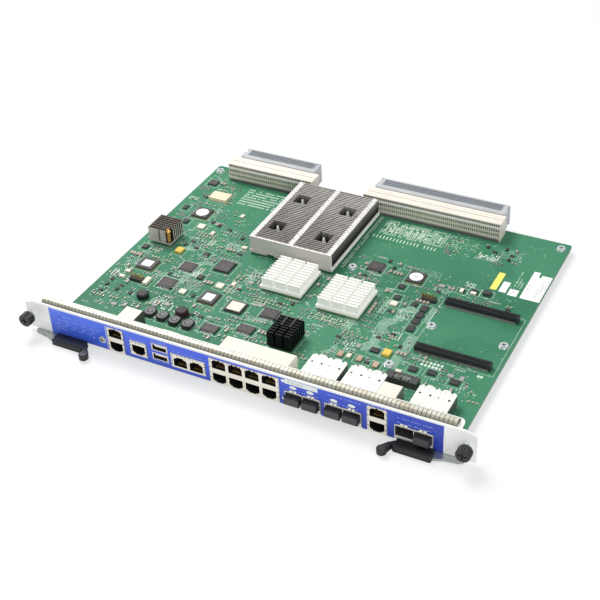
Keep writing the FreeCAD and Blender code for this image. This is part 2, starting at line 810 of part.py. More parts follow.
def main_sink():
    """Base plate, end wall, brazed fins and three top bars."""
    plate_top_z = main_floor + main_plate
    base = box(main_left, main_right + main_lip, main_front - main_lip, main_back,
               main_floor, plate_top_z)
    notch = box(main_left + notch_from, main_left + notch_from + notch_wide,
                main_front - main_lip - over, main_front + notch_deep, main_floor - over,
                plate_top_z - notch_web)
    wall = box(main_left, main_right, main_front, main_front + main_wall, plate_top_z, main_top)
    bars = []
    middle_x = (main_left + main_right) / 2
    for x in (main_left, middle_x - bar_wide / 2, main_right - bar_wide):
        bars.append(box(x, x + bar_wide, main_front, main_back, main_top - bar_deep, main_top))
    first = main_front + main_wall + main_gap
    count = int((main_back - first) / main_pitch)
    pitch = (main_back - main_fin - first) / count
    wells = [pocket(x, y, plate_top_z, main_top + over) for x, y in pocket_places]
    bores = [post(x, y, spring_pin + hole_gap, main_floor - over, plate_top_z + over)
             for x, y in pocket_places]
    fins = []
    for k in range(count + 1):
        y = first + k * pitch
        row = box(main_left + fin_end, main_right - fin_end, y, y + main_fin,
                  plate_top_z, main_top - fin_low)
        near = [w for w in wells if w.BoundBox.YMin < y + main_fin and w.BoundBox.YMax > y]
        fins += cut(row, near).Solids
    return cut(fuse([base, wall]).multiFuse(bars + fins), [notch] + bores)


def taper(x, y, sides, low_radius, top_radius, z0, z1):
    """Pointed head with flat sides."""
    rings = []
    for radius, z in ((low_radius, z0), (top_radius, z1)):
        turns = [2 * math.pi * (k + 0.5) / sides for k in range(sides)]
        rings.append(loop([(x + radius * math.cos(t), y + radius * math.sin(t), z) for t in turns]))
    return Part.makeLoft(rings, True, True)


def sink_pin(x, y):
    """Push pin with a pointed head, standing in a pocket."""
    shoulder = spring_top - pin_head_tall
    pin = post(x, y, spring_pin, -board_thick - pin_below, shoulder)
    return fuse([pin, taper(x, y, pin_sides, pin_head, pin_tip, shoulder, spring_top)])


def covered_package():
    """Chip under the large sink."""
    x, y = (main_left + main_right) / 2, (main_front + main_back) / 2
    return place_box((x, y, main_chip_side, main_chip_side, main_floor))


def cross_cut_sink(left, front, wide, deep, floor, top, groups, fins, plate, lip):
    """Base plate with fins along x, cut through by slots along y."""
    base = box(left, left + wide, front, front + deep, floor, floor + plate)
    pitch = (deep - 2 * lip - sink_fin) / (fins - 1)
    group_wide = (wide - 2 * lip - (groups - 1) * sink_slot) / groups
    parts = [base]
    for g in range(groups):
        x0 = left + lip + g * (group_wide + sink_slot)
        for k in range(fins):
            y0 = front + lip + k * pitch
            parts.append(box(x0, x0 + group_wide, y0, y0 + sink_fin, floor + plate, top))
    return parts[0].multiFuse(parts[1:])


def black_sink():
    body = cross_cut_sink(black_left, black_front, black_wide, black_deep, black_floor,
                          black_top, black_groups, black_fins, sink_plate, 0)
    group_wide = (black_wide - (black_groups - 1) * sink_slot) / black_groups
    foot = black_floor + sink_plate
    straps = []
    for k in (1, 2):
        x = black_left + k * group_wide + (k - 0.5) * sink_slot
        straps.append(box(x - sink_slot / 2, x + sink_slot / 2, black_front + strap_from,
                          black_front + black_deep, foot, black_top + strap_thick))
    back = black_front + black_deep
    cross = box(straps[0].BoundBox.XMin, straps[1].BoundBox.XMax, back, back + strap_thick,
                foot, foot + strap_fall)
    return body, fuse(straps + [cross])


def small_sink():
    body = cross_cut_sink(small_left, small_front, small_side, small_side, small_floor,
                          small_top, small_groups, small_fins, sink_plate, 0)
    corner = box(small_left + small_side - small_corner, small_left + small_side + over,
                 small_front - over, small_front + small_corner,
                 small_floor + sink_plate, small_top + over)
    x, y = post_place()
    return cut(body, [corner, post(x, y, post_radius + hole_gap, small_floor - over, small_top)])


def post_place():
    return small_left + small_side - small_corner / 2, small_front + small_corner / 2


def sink_post():
    x, y = post_place()
    top = small_top + post_stand
    shoulder = top - post_head_tall
    pin = post(x, y, post_radius, -board_thick - pin_below, shoulder)
    return fuse([pin, taper(x, y, pin_sides, post_head, post_tip, shoulder, top)])


# other parts on the board

def mezzanine(front):
    body = box(mezz_left, mezz_left + mezz_wide, front, front + mezz_deep, 0, mezz_height)
    slot = box(mezz_left + mezz_end, mezz_left + mezz_wide - mezz_end,
               front + mezz_deep / 2 - mezz_slot / 2, front + mezz_deep / 2 + mezz_slot / 2,
               mezz_height - mezz_slot_deep, mezz_height + over)
    return body.cut(slot)


def pin_header(x, y):
    long = header_pins * header_pitch
    parts = [box(x - long / 2, x + long / 2, y - header_pitch, y + header_pitch, 0, header_body)]
    for row in (-0.5, 0.5):
        for k in range(header_pins):
            px = x + (k - (header_pins - 1) / 2) * header_pitch
            py = y + row * header_pitch
            half = header_pin / 2
            parts.append(box(px - half, px + half, py - half, py + half, header_body, header_tall))
    return parts[0].multiFuse(parts[1:])


def board_screw(x, y):
    """Pan head with a cross recess, and its nut under the board."""
    head = post(x, y, screw_head, 0, screw_head_tall)
    bite = screw_slot / 2
    slots = [box(x - wide, x + wide, y - deep, y + deep, screw_head_tall - screw_slot_deep,
                 screw_head_tall + over) for wide, deep in ((screw_bit, bite), (bite, screw_bit))]
    corners = [(x + nut_radius * math.cos(math.radians(a)), y + nut_radius * math.sin(math.radians(a)))
               for a in range(0, 360, 60)]
    nut = prism(corners, -board_thick - nut_tall, -board_thick)
    shank = post(x, y, screw_shank, -board_thick, 0)
    return fuse([cut(head, slots), shank, nut])


def chip(place):
    """Flat package on a thin carrier."""
    x, y, wide, deep, tall = place
    carrier = place_box((x, y, wide, deep, chip_carrier))
    lid = place_box((x, y, wide - 2 * chip_lid_in, deep - 2 * chip_lid_in,
                     tall - chip_carrier), chip_carrier)
    return fuse([carrier, lid])


def winding(place, radius, tall):
    x, y = place
    body = post(x, y, radius, 0, tall)
    return body.makeChamfer(coil_edge, [e for e in body.Edges if e.BoundBox.ZMin > tall - tiny])


def filter_module(x, y):
    body = place_box((x, y, module_wide, module_deep, module_height))
    return body.makeChamfer(module_edge, [e for e in body.Edges
                                          if e.BoundBox.ZMin > module_height - tiny])


def transformer():
    wide, deep, tall = transformer_size
    x, y, half = stack_right_x + transformer_offset, transformer_y, core_groove / 2
    core = place_box((x, y, wide, deep, tall))
    grooves = [box(x + dx - half, x + dx + half, y - deep, y + deep,
                   tall - core_groove_deep, tall + over) for dx in (-wide / 4, 0, wide / 4)]
    return cut(core, grooves)


# assembly

pieces["circuit_board"] = circuit_board()
pieces["front_panel"] = front_panel()
pieces["panel_film"] = panel_film()
pieces["contact_strip"] = gasket()

plate = lever_plate()
grip = lever_grip(plate)
rivet = lever_rivet()
for side, make in (("left", lambda s: s), ("right", mirrored)):
    pieces["lever_plate_" + side] = make(plate)
    pieces["lever_grip_" + side] = make(grip)
    pieces["lever_rivet_" + side] = make(rivet)

for side, x in (("left", screw_inset), ("right", panel_width - screw_inset)):
    pieces["captive_screw_" + side] = captive_screw(x)
    pieces["screw_sleeve_" + side] = screw_sleeve(x)

pieces["push_button"] = push_button()
pieces["button_switch"] = button_switch()
pieces["stacked_jack_left"] = stacked_jack(stack_left_x, 1)
pieces["stacked_jack_right"] = stacked_jack(stack_right_x, 1)
pieces["jack_block"] = stacked_jack(block_x, block_ports)
pieces["single_jack"] = low_jack(single_x, single_width, 1, False)
pieces["double_jack"] = low_jack(pair_x, pair_width, 2, True)
pieces["bus_ports"] = bus_ports()

plugged = {0: (-1, 1), 1: (-1, 1), 2: (1,)}
plug_number = 1
for k, centre in enumerate(cage_middles):
    pieces["transceiver_cage_%d" % (k + 1)] = transceiver_cage(centre)
    for side in plugged[k]:
        pieces["dust_plug_%d" % plug_number] = dust_plug(centre, side)
        plug_number += 1

for side, span in zip(("left", "right"), rear_spans):
    left, right, left_ear, right_ear = span
    pieces["backplane_body_" + side] = rear_body(left, right)
    pieces["backplane_shroud_" + side] = rear_shroud(left, right, left_ear, right_ear)

pieces["main_sink"] = main_sink()
pieces["main_sink_pins"] = Part.makeCompound([sink_pin(x, y) for x, y in pocket_places])
pieces["main_sink_chip"] = covered_package()
for side, (x, gap) in zip(("left", "right"), white_places):
    y = main_front - main_lip - gap - white_side
    pieces["white_sink_" + side] = cross_cut_sink(x, y, white_side, white_side, white_floor,
                                                  white_top, white_groups, white_fins,
                                                  white_plate, white_lip)
    inner = white_side - 2 * package_margin
    pieces["white_sink_chip_" + side] = place_box((x + white_side / 2, y + white_side / 2,
                                                   inner, inner, white_floor))
pieces["black_sink"], pieces["black_sink_strap"] = black_sink()
pieces["black_sink_chip"] = place_box((black_left + black_wide / 2, black_front + black_deep / 2,
                                       black_chip_side, black_chip_side, black_floor))
pieces["small_sink"] = small_sink()
pieces["small_sink_chip"] = box(small_left + small_chip_in,
                                small_left + small_chip_in + small_chip_side,
                                small_front + small_side - small_chip_in - small_chip_side,
                                small_front + small_side - small_chip_in, 0, small_floor)
pieces["small_sink_post"] = sink_post()

pieces["mezzanine_front"] = mezzanine(mezz_fronts[0])
pieces["mezzanine_rear"] = mezzanine(mezz_fronts[1])
for side, (x, y) in zip(("left", "right"), header_places):
    pieces["pin_header_" + side] = pin_header(x, y)
pieces["board_screws"] = Part.makeCompound([board_screw(x, y) for x, y in screw_places])

pieces["square_chip"] = chip(square_chip)
pieces["round_label_chip_left"] = chip(round_chip_left)
pieces["round_label_chip_right"] = chip(round_chip_right)
pieces["white_label_chip"] = chip(label_chip)
can = place_box(clock_can)
pieces["clock_can"] = can.makeChamfer(can_edge, [e for e in can.Edges if upright(e)])
pieces["transformer"] = transformer()
pieces["coil"] = winding(coil_place, coil_radius, coil_height)
pieces["beeper"] = winding(beeper_place, beeper_radius, beeper_height)

# soldered flat parts that belong to the board's own node
pieces["circuit_board"] = fuse([pieces["circuit_board"], chip(gate_chip), chip(cream_chip)]
                               + [filter_module(x, y) for x, y in module_places])

front_reach = horn_y - horn_radius
shift = FreeCAD.Vector(-middle, -(front_reach + rear_back) / 2, -grip_bottom)
os.makedirs("parts", exist_ok=True)
for name, shape in pieces.items():
    shape.translate(shift)
    shape.exportStep("parts/%s.step" % name)
print(len(pieces), "pieces")
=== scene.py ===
import math
import random

import bmesh
import bpy
from mathutils import Matrix, Vector


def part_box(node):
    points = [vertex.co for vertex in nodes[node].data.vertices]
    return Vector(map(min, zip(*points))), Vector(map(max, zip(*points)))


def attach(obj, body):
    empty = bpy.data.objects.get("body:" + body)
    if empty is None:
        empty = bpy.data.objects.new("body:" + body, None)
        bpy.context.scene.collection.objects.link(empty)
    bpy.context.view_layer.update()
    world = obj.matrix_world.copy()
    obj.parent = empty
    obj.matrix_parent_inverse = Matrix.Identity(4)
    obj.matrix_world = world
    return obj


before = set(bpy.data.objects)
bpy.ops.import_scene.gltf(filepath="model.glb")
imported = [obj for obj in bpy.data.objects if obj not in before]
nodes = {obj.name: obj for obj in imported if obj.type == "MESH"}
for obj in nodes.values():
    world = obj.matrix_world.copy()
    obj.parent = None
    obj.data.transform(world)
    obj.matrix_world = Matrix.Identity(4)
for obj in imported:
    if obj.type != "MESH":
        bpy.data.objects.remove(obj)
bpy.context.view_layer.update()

mm = 0.001

# places

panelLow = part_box("front_panel")[0]
boardLow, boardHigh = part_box("circuit_board")
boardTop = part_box("square_chip")[0].z
filmLow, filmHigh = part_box("panel_film")
mezzanines = ["mezzanine_front", "mezzanine_rear"]
screwPlaces = ((22.7, 270.6), (360.5, 271.2), (208.2, 175.3), (299.9, 126.4), (360.3, 125.4),
               (288.4, 69.2))
pinPlaces = ((132.4, 231.8), (132.2, 184.6), (178.6, 229.2), (177.2, 183.8))
filterPlaces = ((85.4, 49.5), (97.6, 48.9), (109.8, 47.6), (122.2, 47.8))
cageMiddles = (250.2, 282.9, 337.9)


def at(x, y, z=0.0):
    # millimetres from the panel's left end, from its front face and above the board
    return Vector((panelLow.x + x * mm, panelLow.y + y * mm, boardTop + z * mm))


def fromLeft(x):
    return (x - panelLow.x) / mm


def fromFront(y):
    return (y - panelLow.y) / mm


def across(name):
    low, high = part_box(name)
    return low, high, (low + high) / 2


def bothSides(name):
    return [name + "_left", name + "_right"]


def steps(first, last, step):
    while first < last:
        yield first
        first += step


def grid(left, front, right, back, stepX, stepY):
    for y in steps(front, back, stepY):
        for x in steps(left, right, stepX):
            yield x, y


def tint(red, green, blue):
    # display colour to the linear colour that the shader takes
    def line(value):
        value /= 255
        return value / 12.92 if value < 0.04045 else ((value + 0.055) / 1.055) ** 2.4
    return (line(red), line(green), line(blue), 1.0)


# node graphs


class Wire:
    def __init__(self, graph, socket):
        self.graph = graph
        self.socket = socket

    def pin(self, name):
        return Wire(self.graph, self.socket.node.outputs[name])

    def maths(self, operation, *values):
        return self.graph.add("ShaderNodeMath", {"operation": operation},
                              dict(enumerate(values)))

    def wave(self, length):
        return self.maths("SINE", self * (2 * math.pi / length))

    def __abs__(self):
        return self.maths("ABSOLUTE", self)

    def __add__(self, other):
        return self.maths("ADD", self, other)

    def __radd__(self, other):
        return self.maths("ADD", other, self)

    def __sub__(self, other):
        return self.maths("SUBTRACT", self, other)

    def __rsub__(self, other):
        return self.maths("SUBTRACT", other, self)

    def __mul__(self, other):
        return self.maths("MULTIPLY", self, other)

    def __rmul__(self, other):
        return self.maths("MULTIPLY", other, self)

    def __gt__(self, other):
        return self.maths("GREATER_THAN", self, other)

    def __lt__(self, other):
        return self.maths("LESS_THAN", self, other)


class Graph:
    def __init__(self, tree):
        self.tree = tree

    def add(self, kind, settings=None, values=None, out=0):
        node = self.tree.nodes.new(kind)
        for key, value in (settings or {}).items():
            if key == "stops":
                ramp = node.color_ramp
                while len(ramp.elements) > 1:
                    ramp.elements.remove(ramp.elements[-1])
                ramp.elements[0].position, ramp.elements[0].color = value[0]
                for place, colour in value[1:]:
                    ramp.elements.new(place).color = colour
            else:
                setattr(node, key, value)
        for key, value in (values or {}).items():
            if isinstance(value, Wire):
                self.tree.links.new(value.socket, node.inputs[key])
            else:
                node.inputs[key].default_value = value
        return Wire(self, node.outputs[out])

    def blend(self, factor, first, second):
        return self.add("ShaderNodeMix", {"data_type": "RGBA"},
                        {0: factor, 6: first, 7: second}, 2)


class Paint(Graph):
    def __init__(self, name, colour, roughness=0.5, metallic=0.0, **fixed):
        self.material = bpy.data.materials.new(name)
        self.material.use_nodes = True
        super().__init__(self.material.node_tree)
        self.shader = self.tree.nodes["Principled BSDF"]
        self.shader.inputs["Base Color"].default_value = colour
        self.shader.inputs["Roughness"].default_value = roughness
        self.shader.inputs["Metallic"].default_value = metallic
        for key, value in fixed.items():
            self.shader.inputs[key.replace("_", " ")].default_value = value
        self.colour = colour
        self.place = self.add("ShaderNodeTexCoord", out="Object")

    def feed(self, name, wire):
        self.tree.links.new(wire.socket, self.shader.inputs[name])

    def noise(self, scale, detail=3.0, stretch=None):
        where = self.place
        if stretch:
            where = self.add("ShaderNodeVectorMath", {"operation": "MULTIPLY"},
                             {0: self.place, 1: stretch})
        return self.add("ShaderNodeTexNoise", None,
                        {"Vector": where, "Scale": scale, "Detail": detail}, "Fac")

    def axes(self, names):
        split = self.add("ShaderNodeSeparateXYZ", None, {0: self.place})
        return [split.pin(name) for name in names]

    def ramp(self, factor, stops):
        return self.add("ShaderNodeValToRGB", {"stops": stops}, {0: factor})

    def band(self, factor, low, high):
        # 0 below low, 1 above high
        return self.add("ShaderNodeMapRange", {"clamp": True}, {0: factor, 1: low, 2: high})

    def mottle(self, scale, spread, detail=4.0, stretch=None):
        # colour that drifts a little lighter and darker
        amount = self.band(self.noise(scale, detail, stretch), 0.3, 0.7)
        dark = tuple(c * (1 - spread) for c in self.colour[:3]) + (1.0,)
        light = tuple(min(1.0, c * (1 + spread)) for c in self.colour[:3]) + (1.0,)
        return self.blend(amount, dark, light)

    def rough(self, scale, low, high, detail=3.0, stretch=None):
        self.feed("Roughness", self.noise(scale, detail, stretch) * (high - low) + low)

    def bump(self, height, strength, depth):
        normal = self.add("ShaderNodeBump", None,
                          {"Height": height, "Strength": strength, "Distance": depth * mm})
        self.feed("Normal", normal)


def plainPaint(name, colour, roughness, metallic, scale, spread, grain, depth=0.05, stretch=None,
               **fixed):
    paint = Paint(name, colour, roughness, metallic, **fixed)
    paint.feed("Base Color", paint.mottle(scale * 0.12, spread, stretch=stretch))
    paint.rough(scale * 0.3, max(0.05, roughness - 0.1), min(1.0, roughness + 0.1), 4.0, stretch)
    paint.bump(paint.noise(scale * 2, 3.0, stretch), grain, depth)
    return paint.material


# materials

boardLook = {
    "green": tint(70, 134, 101),
    "trace": tint(92, 158, 124),
    "deep": tint(44, 104, 74),
    # laminate edge, darkened with painted shade
    "edge": tint(104, 138, 108),
    "hole": tint(196, 206, 186),
    "tracePitch": 1.1 * mm,
    "bundle": 22.0,           # bundles of traces to a metre
    "holes": 300.0,           # holes to a metre
}


def boardPaint():
    paint = Paint("boardGreen", boardLook["green"], 0.48, Specular_IOR_Level=0.16)
    x, y = paint.axes("XY")
    cell = paint.add("ShaderNodeTexVoronoi", {"distance": "CHEBYCHEV"},
                     {"Vector": paint.place, "Scale": boardLook["bundle"]}, "Color")
    pick = paint.add("ShaderNodeSeparateColor", None, {0: cell})
    slant = (pick.pin("Green") > 0.7) * (x + y) * 0.707
    straight = (pick > 0.5) * x + (pick < 0.5) * y
    run = slant + (pick.pin("Green") < 0.7) * straight
    lines = (paint.band(run.wave(boardLook["tracePitch"]), 0.35, 0.75)
             * (pick.pin("Blue") > 0.35))
    pads = paint.add("ShaderNodeTexVoronoi", {"feature": "F1"},
                     {"Vector": paint.place, "Scale": boardLook["holes"], "Randomness": 0.9},
                     "Distance")
    holes = (pads < 0.16) * (paint.noise(38.0, 2.0) > 0.52)
    drift = paint.blend(paint.band(paint.noise(7.0), 0.3, 0.7), boardLook["deep"],
                        boardLook["green"])
    soft = paint.blend(lines * 0.45, drift, boardLook["trace"])
    dotted = paint.blend(holes * 0.75, soft, boardLook["hole"])
    # side faces take the edge colour, darkened with painted shade
    facing = paint.add("ShaderNodeNewGeometry", None, None, "Normal")
    up = paint.add("ShaderNodeSeparateXYZ", None, {0: facing}).pin("Z")
    paint.feed("Base Color", paint.blend(abs(up) < 0.5, dotted, boardLook["edge"]))
    paint.rough(60.0, 0.3, 0.48)
    paint.bump(lines * 0.6 + holes, 0.35, 0.06)
    return paint.material


def filmPaint():
    # printed film, brighter towards its upper left: a painted sheen along it and painted shade
    # towards its foot
    paint = Paint("filmBlue", tint(70, 96, 200), 0.3, Coat_Weight=0.12, Coat_Roughness=0.25)
    x, z = paint.axes("XZ")
    along = paint.band(x, filmLow.x, filmHigh.x)
    tall = paint.band(z, filmLow.z, filmHigh.z)
    # painted sheen from left to right, then painted shade towards the foot
    body = paint.ramp(along, [(0.0, tint(72, 112, 236)), (0.45, tint(54, 88, 220)),
                              (1.0, tint(34, 60, 176))])
    shaded = paint.blend((1 - tall) * 0.4, body, tint(26, 42, 118))
    speckle = paint.band(paint.noise(900.0, 2.0), 0.45, 0.75)
    paint.feed("Base Color", paint.blend(speckle * 0.12, shaded, tint(120, 144, 236)))
    paint.rough(120.0, 0.25, 0.45)
    paint.bump(paint.noise(1500.0, 2.0), 0.1, 0.04)
    return paint.material


def fingerPaint():
    # plated spring fingers: pale crowns, and painted shade darker towards their feet
    paint = Paint("fingerMetal", tint(212, 208, 194), 0.36, 0.6)
    low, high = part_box("contact_strip")
    paintedShadeRise = paint.band(paint.axes("Z")[0], low.z, high.z)
    patina = paint.blend(paint.band(paint.noise(90.0), 0.35, 0.7), tint(206, 198, 176),
                         tint(230, 228, 214))
    # painted shade: darker towards the feet of the fingers
    paint.feed("Base Color", paint.blend(paintedShadeRise, tint(118, 116, 100), patina))
    paint.rough(300.0, 0.25, 0.5)
    paint.bump(paint.noise(1200.0), 0.12, 0.04)
    return paint.material


def finPaint():
    # brazed fins: matt, paler towards the back as painted light, and dark brown low in the
    # hollows as painted shade
    paint = Paint("finMetal", tint(150, 142, 136), 0.5, 0.55)
    low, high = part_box("main_sink")
    x, y, z = paint.axes("XYZ")
    # painted shade: dark low down between the fins
    paintedShadeRise = paint.band(z, low.z + 5 * mm, high.z - 0.4 * mm)
    # painted light: paler towards the back and right
    back = paint.band(y + x * 0.4, low.y, high.y)
    mottled = paint.band(paint.noise(60.0), 0.35, 0.7)
    top = paint.blend(back, paint.blend(mottled, tint(140, 134, 128), tint(160, 154, 148)),
                      paint.blend(mottled, tint(186, 182, 176), tint(206, 202, 196)))
    paint.feed("Base Color", paint.blend(paintedShadeRise, tint(44, 40, 38), top))
    paint.rough(200.0, 0.4, 0.6)
    paint.bump(paint.noise(900.0), 0.12, 0.05)
    return paint.material


def barPaint():
    # strips on top of the fins: bright, with slanted marks from the fins under them
    paint = Paint("brazeBar", tint(226, 222, 218), 0.5, 0.3)
    x, y = paint.axes("XY")
    marks = (y + x * 0.9).wave(4.2 * mm)
    dashes = paint.band(marks, 0.3, 0.8) * paint.band(paint.noise(220.0, 2.0), 0.4, 0.55)
    paint.feed("Base Color", paint.blend(dashes * 0.6, tint(236, 232, 228),
                                         tint(146, 140, 138)))
    paint.bump(1.0 - dashes, 0.3, 0.08)
    return paint.material


def casePaint(name, colour, spread):
    # moulded or fired case of a small part
    paint = Paint(name, colour, 0.48)
    paint.feed("Base Color", paint.mottle(60.0, spread))
    paint.rough(500.0, 0.4, 0.6, 4.0)
    paint.bump(paint.noise(2500.0, 2.0), 0.15, 0.03)
    return paint.material


def labelPaint(name, colour, ink, pitch, share):
    # sticker with a few plain ruled lines
    paint = Paint(name, colour, 0.5)
    lines = paint.axes("Y")[0].wave(pitch)
    gaps = paint.noise(240.0, 2.0, (1.0, 0.05, 1.0))
    mask = (lines > share) * (gaps > 0.45)
    paint.feed("Base Color", paint.blend(mask * 0.35, paint.mottle(90.0, 0.04), ink))
    paint.bump(paint.noise(900.0), 0.1, 0.03)
    return paint.material


plainLooks = {      # display colour; roughness, metallic, scale of the grain, drift, bump
    "panelWhite": (238, 238, 234, 0.42, 0.05, 700, 0.025, 0.12),
    "leverZinc": (186, 190, 186, 0.34, 0.85, 300, 0.1, 0.12),
    "mouldedBlack": (26, 26, 29, 0.42, 0.0, 900, 0.12, 0.25),
    "plugBlack": (26, 26, 28, 0.45, 0.0, 900, 0.1, 0.2),
    "plugFace": (64, 64, 66, 0.5, 0.0, 900, 0.1, 0.2),
    "knobBlack": (26, 26, 28, 0.38, 0.0, 900, 0.12, 0.2),
    "creamMoulding": (234, 224, 204, 0.45, 0.0, 500, 0.03, 0.15),
    "creamTop": (234, 225, 210, 0.5, 0.0, 500, 0.04, 0.15),
    "creamFace": (214, 208, 194, 0.42, 0.15, 120, 0.2, 0.2),
    # painted shade: sides turned from the light and the screws' cross recesses
    "sideMetal": (86, 94, 84, 0.4, 0.3, 120, 0.3, 0.2),
    # painted shade along the rear connectors' feet; also their top seams
    "skirtGrey": (92, 92, 90, 0.45, 0.2, 300, 0.15, 0.2),
    "canCream": (232, 214, 184, 0.4, 0.1, 500, 0.03, 0.12),
    "greyMoulding": (184, 184, 186, 0.45, 0.0, 500, 0.05, 0.18),
    "pinField": (162, 166, 170, 0.5, 0.0, 500, 0.05, 0.2),
    "pinHole": (70, 76, 84, 0.5, 0.0, 500, 0.08, 0.2),
    "jackShell": (236, 230, 214, 0.4, 0.15, 350, 0.04, 0.12),
    "jackInside": (16, 16, 18, 0.5, 0.0, 500, 0.1, 0.2),
    "cagePlate": (236, 236, 228, 0.4, 0.2, 130, 0.07, 0.3),
    # painted shade: the dark inside of the transceiver bays
    "cageInside": (70, 68, 66, 0.5, 0.3, 300, 0.15, 0.2),
    "busInside": (34, 34, 34, 0.4, 0.2, 300, 0.12, 0.2),
    "whiteAnodised": (230, 230, 223, 0.5, 0.0, 600, 0.015, 0.1),
    "blackAnodised": (7, 8, 10, 0.5, 0.0, 600, 0.1, 0.15),
    # anodised outer faces of the small sink, with a painted sheen
    "smallAnodised": (196, 190, 182, 0.34, 0.25, 90, 0.2, 0.12),
    "postBrass": (212, 160, 92, 0.3, 0.6, 600, 0.1, 0.12),
    "smallFinTop": (96, 86, 78, 0.4, 0.5, 300, 0.3, 0.12),
    # painted shade in the small sink's hollows
    "smallHollow": (44, 36, 32, 0.5, 0.3, 600, 0.1, 0.15),
    "strapSteel": (58, 58, 60, 0.35, 0.5, 600, 0.08, 0.1),
    "sinkWall": (196, 192, 185, 0.48, 0.12, 300, 0.04, 0.15),
    "screwZinc": (238, 242, 242, 0.24, 0.6, 500, 0.06, 0.1),
    "solderTin": (200, 202, 198, 0.3, 0.85, 900, 0.08, 0.12),
    "contactGold": (214, 174, 96, 0.28, 0.9, 900, 0.06, 0.1),
    "shadedGold": (150, 122, 66, 0.3, 0.7, 900, 0.1, 0.1),
    "springTin": (236, 232, 218, 0.32, 0.45, 900, 0.05, 0.1),
    "whitePrint": (226, 232, 226, 0.6, 0.0, 900, 0.04, 0.1),
    "softPrint": (206, 222, 202, 0.55, 0.0, 900, 0.06, 0.1),
    "paleInk": (150, 164, 228, 0.5, 0.0, 900, 0.05, 0.05),
    # also the painted highlight band on the rear connectors
    "labelWhite": (244, 242, 240, 0.5, 0.0, 900, 0.03, 0.08),
    "markGrey": (176, 160, 164, 0.55, 0.0, 900, 0.06, 0.1),
    "chipMark": (106, 88, 84, 0.55, 0.0, 900, 0.06, 0.1),
    "traceGreen": (190, 214, 196, 0.45, 0.0, 900, 0.06, 0.1),
    "lensPale": (128, 148, 214, 0.25, 0.0, 500, 0.05, 0.05),
    "lensRed": (150, 96, 140, 0.25, 0.0, 500, 0.05, 0.05),
}
moreLooks = {
    "leverZinc": {"stretch": (1.0, 4.0, 1.0)},
    "mouldedBlack": {"depth": 0.06},
    "cagePlate": {"depth": 0.3, "stretch": (1.0, 0.5, 1.0)},
    "sinkWall": {"stretch": (0.3, 1.0, 1.0)},
    # painted glow: a weak white emission that brightens the white anodised sinks
    "whiteAnodised": {"Emission_Color": (1.0, 1.0, 0.96, 1.0), "Emission_Strength": 0.12},
    "blackAnodised": {"Specular_IOR_Level": 0.2},
}
caseLooks = {       # display colour and how far it drifts
    "chipMould": (62, 61, 60, 0.12), "chipDark": (46, 45, 46, 0.12),
    "chipTop": (56, 53, 51, 0.16), "toothBlack": (28, 29, 31, 0.1),
    "mezzanineGrey": (44, 45, 49, 0.1), "carrierLaminate": (156, 150, 96, 0.12),
    "tanCeramic": (186, 158, 134, 0.12), "amberCase": (226, 190, 80, 0.12),
    "redCase": (36, 14, 14, 0.12), "moduleGrey": (158, 158, 156, 0.06),
}
looks = {
    "boardGreen": boardPaint(), "filmBlue": filmPaint(), "fingerMetal": fingerPaint(),
    "finMetal": finPaint(), "brazeBar": barPaint(),
    "stickerWhite": labelPaint("stickerWhite", tint(250, 250, 248), tint(150, 150, 152),
                               2.2 * mm, 0.6),
    "stickerYellow": labelPaint("stickerYellow", tint(242, 226, 108), tint(170, 150, 60),
                                3 * mm, 0.8),
}
for name, look in plainLooks.items():
    looks[name] = plainPaint(name, tint(*look[:3]), *look[3:], **moreLooks.get(name, {}))
for name, look in caseLooks.items():
    looks[name] = casePaint(name, tint(*look[:3]), look[3])
print("materials:", len(looks))

# finishing pieces


def finish(piece, body, slot):
    bpy.context.scene.collection.objects.link(piece)
    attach(piece, body)


def meshPiece(name, build, material, slot):
    shape = bmesh.new()
    build(shape)
    mesh = bpy.data.meshes.new(name)
    shape.to_mesh(mesh)
    shape.free()
    mesh.materials.append(looks[material])
    finish(bpy.data.objects.new(name, mesh), "card", slot)


def addBlock(shape, low, high, ease=0.0):
    # block between two corners, with its edges rounded by ease
    made = bmesh.ops.create_cube(shape, size=1.0)
    size, middle = high - low, (low + high) / 2
    for v in made["verts"]:
        v.co = Vector((v.co.x * size.x, v.co.y * size.y, v.co.z * size.z)) + middle
    if ease > 0:
        edges = [e for e in {e for v in made["verts"] for e in v.link_edges}]
        bmesh.ops.bevel(shape, geom=edges, offset=ease, segments=2, profile=0.5,
                        affect="EDGES")


def addDisc(shape, x, y, z, radius, sides=28):
    turns = [2 * math.pi * k / sides for k in range(sides)]
    shape.faces.new([shape.verts.new(at(x + radius * math.cos(a), y + radius * math.sin(a), z))
                     for a in turns])


def dressParts(node, materials, choose=None):
    # choose gives a face's material number from its middle, its normal and the node's box
    low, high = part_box(node)
    mesh = nodes[node].data
    mesh.materials.clear()
    for name in materials:
        mesh.materials.append(looks[name])
    if choose:
        for face in mesh.polygons:
            face.material_index = choose(face.center, face.normal, low, high)


# geometry nodes


